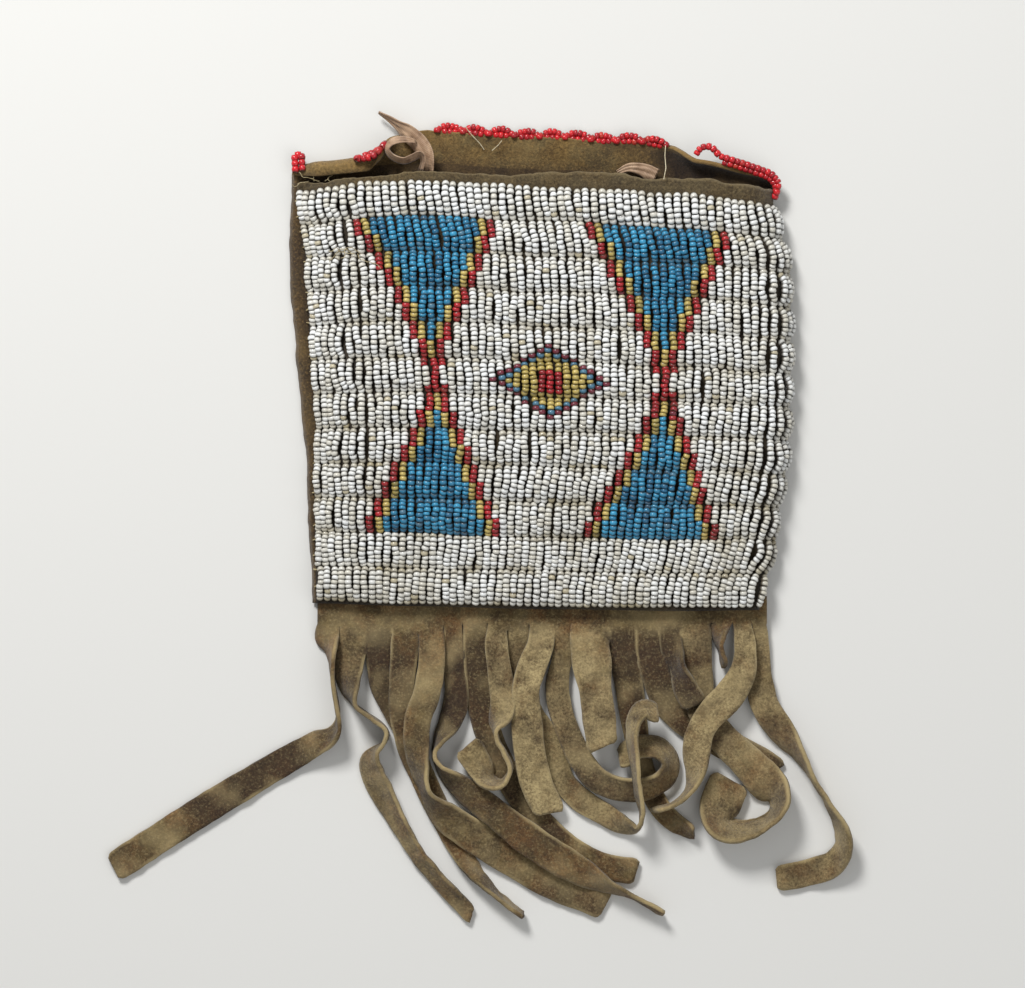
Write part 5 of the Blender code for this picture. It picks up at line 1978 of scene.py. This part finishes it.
@dataclass
class Stitching:
    """Sinew and cotton: the side seam's stitches, loose ends at the corner and hairs at the mouth."""

    form: PouchForm
    sinew_radius: float = 0.16 * MM
    strand_radius: float = 0.07 * MM
    hair_radius: float = 0.1 * MM
    # The side seam: how many stitches, where the first is and how far apart they are, in lanes
    stitches: int = 26
    first_stitch: float = 0.3
    stitch_spacing: float = 0.45
    stitch_reach: float = 0.7 * MM
    stitch_in: float = 0.004
    stitch_sunk: float = 0.05 * MM
    stitch_level: float = 0.9 * MM
    stitch_arch: float = 0.15 * MM
    tufts: tuple[Tuft, ...] = (
        Tuft(0.03, -0.25, 0.4 * MM, count=5, spacing=1.2 * MM, steps=11, step=0.4 * MM, rise=0.05, seed=40),
        Tuft(0.11, 2.0, 2.6 * MM, count=4, spacing=0.7 * MM, steps=16, step=0.42 * MM, rise=0.0, seed=60),
    )
    bend: float = 0.9
    sway: float = 0.25
    seed: int = 11
    # Cotton hairs, each a few points in millimetres: two over the flap and one that hangs over the mouth
    hairs: tuple[tuple[tuple[float, float, float], ...], ...] = (
        ((-18.6, 60.4, 3.4), (-17.2, 58.6, 3.2), (-15.4, 56.8, 2.6), (-14.4, 55.4, 2.0)),
        ((-12.6, 55.2, 2.2), (-11.2, 56.4, 2.6), (-10.4, 57.4, 2.8)),
        ((26.4, 56.0, 6.2), (26.2, 53.6, 7.6), (26.4, 50.8, 8.6), (25.9, 48.2, 9.2)),
    )

    def tube(
        self, name: str, lines: Sequence[Sequence[Vector]], radius: float, finish: ThreadFinish
    ) -> bpy.types.Object:
        """Make threads along lines.

        Args:
            name: The piece's name.
            lines: The points of each thread.
            radius: Its radius.
            finish: Its finish.

        Returns:
            A plain mesh object.
        """
        curve = bpy.data.curves.new(name, "CURVE")
        curve.dimensions = "3D"
        curve.bevel_depth = radius
        curve.bevel_resolution = 1
        curve.use_fill_caps = True
        for points in lines:
            spline = curve.splines.new("POLY")
            spline.points.add(len(points) - 1)
            for target, point in zip(spline.points, points):
                target.co = (*point, 1)
        curve.materials.append(finish.material())
        made = bpy.data.objects.new(name, curve)
        bpy.context.scene.collection.objects.link(made)
        return settled(made)

    def seam(self) -> list[list[Vector]]:
        """Whip stitches over the left seam, one every few millimetres.

        Returns:
            The points of each stitch.
        """
        lines = []
        draw = random.Random(self.seed)
        for number in range(self.stitches):
            lanes = self.first_stitch + number * self.stitch_spacing
            inner = self.form.front_point(self.stitch_in, lanes, self.form.hide / 2 + self.stitch_sunk)
            reach = self.stitch_reach + draw.uniform(0, 0.3) * MM
            outer = inner + Vector((-reach, draw.uniform(-0.6, 0.2) * MM, 0))
            outer.z = self.form.hide + self.stitch_level
            middle = (inner + outer) / 2
            middle.z = max(inner.z, outer.z) + self.stitch_arch
            lines.append([inner, middle, outer])
        return lines

    def loose(self, tuft: Tuft, number: int) -> list[Vector]:
        """A wandering loose end.

        Args:
            tuft: The tuft that it is in.
            number: Its place in the tuft.

        Returns:
            Its points.
        """
        draw = random.Random(tuft.seed + number)
        heading = draw.uniform(0, math.tau)
        root = self.form.front_point(tuft.across, tuft.lanes, self.form.hide / 2 + tuft.height)
        points = [root + Vector((tuft.spacing * number, 0, 0))]
        for _ in range(tuft.steps):
            heading += draw.uniform(-self.bend, self.bend)
            rise = tuft.rise + draw.uniform(-self.sway, self.sway)
            points.append(points[-1] + Vector((math.cos(heading), math.sin(heading), rise)) * tuft.step)
        return points

    def build(self) -> None:
        """Make and dress the threads."""
        dress(self.tube("side_seam_sinew", self.seam(), self.sinew_radius, SINEW))
        ends = [self.loose(tuft, number) for tuft in self.tufts for number in range(tuft.count)]
        dress(self.tube("loose_sinew_ends", ends, self.strand_radius, SINEW))
        hairs = [[Vector(point) * MM for point in hair] for hair in self.hairs]
        dress(self.tube("cotton_hairs", hairs, self.hair_radius, COTTON))


# Studio


@dataclass
class Studio:
    """A pale floor, soft lamps and a camera that looks straight down, as the photograph does."""

    centre: tuple[float, float] = (-8.0 * MM, -22.3 * MM)
    view_width: float = 230.6 * MM
    camera_height: float = 1.0
    focus_level: float = 5.0 * MM
    sensor: float = 36.0
    floor_size: float = 3.0
    floor_colour: str = "#d9d8d4"
    floor_roughness: float = 0.9
    sky_colour: str = "#f4f6f8"
    sky_strength: float = 0.36
    # Each lamp's name, place, side and power, in metres and watts
    lamps: tuple[tuple[str, tuple[float, float, float], float, float], ...] = (
        ("key", (-0.3, 0.62, 0.62), 0.25, 9.0), ("fill", (0.5, -0.35, 0.8), 0.9, 2.4),
    )

    def build(self) -> None:
        """Make the floor, the lamps, the world and the camera."""
        self.add_floor()
        for name, place, size, power in self.lamps:
            self.add_lamp(name, Vector(place), size, power)
        world = bpy.data.worlds.new("studio")
        world.use_nodes = True
        tree = NodeTree(world.node_tree)
        sky = {"Color": linear(self.sky_colour), "Strength": self.sky_strength}
        light = tree.add("ShaderNodeBackground", sky)
        tree.add("ShaderNodeOutputWorld", {0: light})
        bpy.context.scene.world = world
        bpy.context.scene.view_settings.view_transform = "Standard"
        lens = self.sensor * (self.camera_height - self.focus_level) / self.view_width
        data = bpy.data.cameras.new("camera")
        data.sensor_width = self.sensor
        data.lens = lens
        camera = bpy.data.objects.new("camera", data)
        camera.location = (*self.centre, self.camera_height)
        bpy.context.scene.collection.objects.link(camera)
        bpy.context.scene.camera = camera

    def add_floor(self) -> None:
        """Add the floor that the pouch lies on."""
        bm = bmesh.new()
        bmesh.ops.create_grid(bm, x_segments=1, y_segments=1, size=self.floor_size / 2)
        plain = {"Base Color": linear(self.floor_colour), "Roughness": self.floor_roughness}
        mesh_object("floor", bm, Surface("plain_floor").shaded(plain))

    def add_lamp(self, name: str, place: Vector, size: float, power: float) -> None:
        """Add a soft square lamp that points at the pouch.

        Args:
            name: The lamp's name.
            place: Where it stands.
            size: The length of its side.
            power: Its power in watts.
        """
        data = bpy.data.lights.new(name, "AREA")
        data.shape = "SQUARE"
        data.size = size
        data.energy = power
        lamp = bpy.data.objects.new(name, data)
        lamp.location = place
        target = Vector((*self.centre, 0))
        lamp.rotation_euler = (target - place).to_track_quat("-Z", "Y").to_euler()
        bpy.context.scene.collection.objects.link(lamp)


def main() -> None:
    """Build the pouch's looks, piece by piece."""
    logging.basicConfig(level=logging.INFO, format="%(message)s")
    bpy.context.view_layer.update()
    Studio().build()
    form = PouchForm()
    Panels(form).build()
    Fringe(form, FRINGE_HIDE.material()).build()
    Ribbon().build()
    tree = BeadTree()
    finishes = {
        BeadColour.WHITE: WHITE_GLASS,
        BeadColour.BLUE: BLUE_GLASS,
        BeadColour.YELLOW: YELLOW_GLASS,
        BeadColour.RED: RED_GLASS,
    }
    Beadwork(form, tree).build(finishes)
    EdgeBeading(form, tree).build()
    Stitching(form).build()


if __name__ == "__main__":
    main()
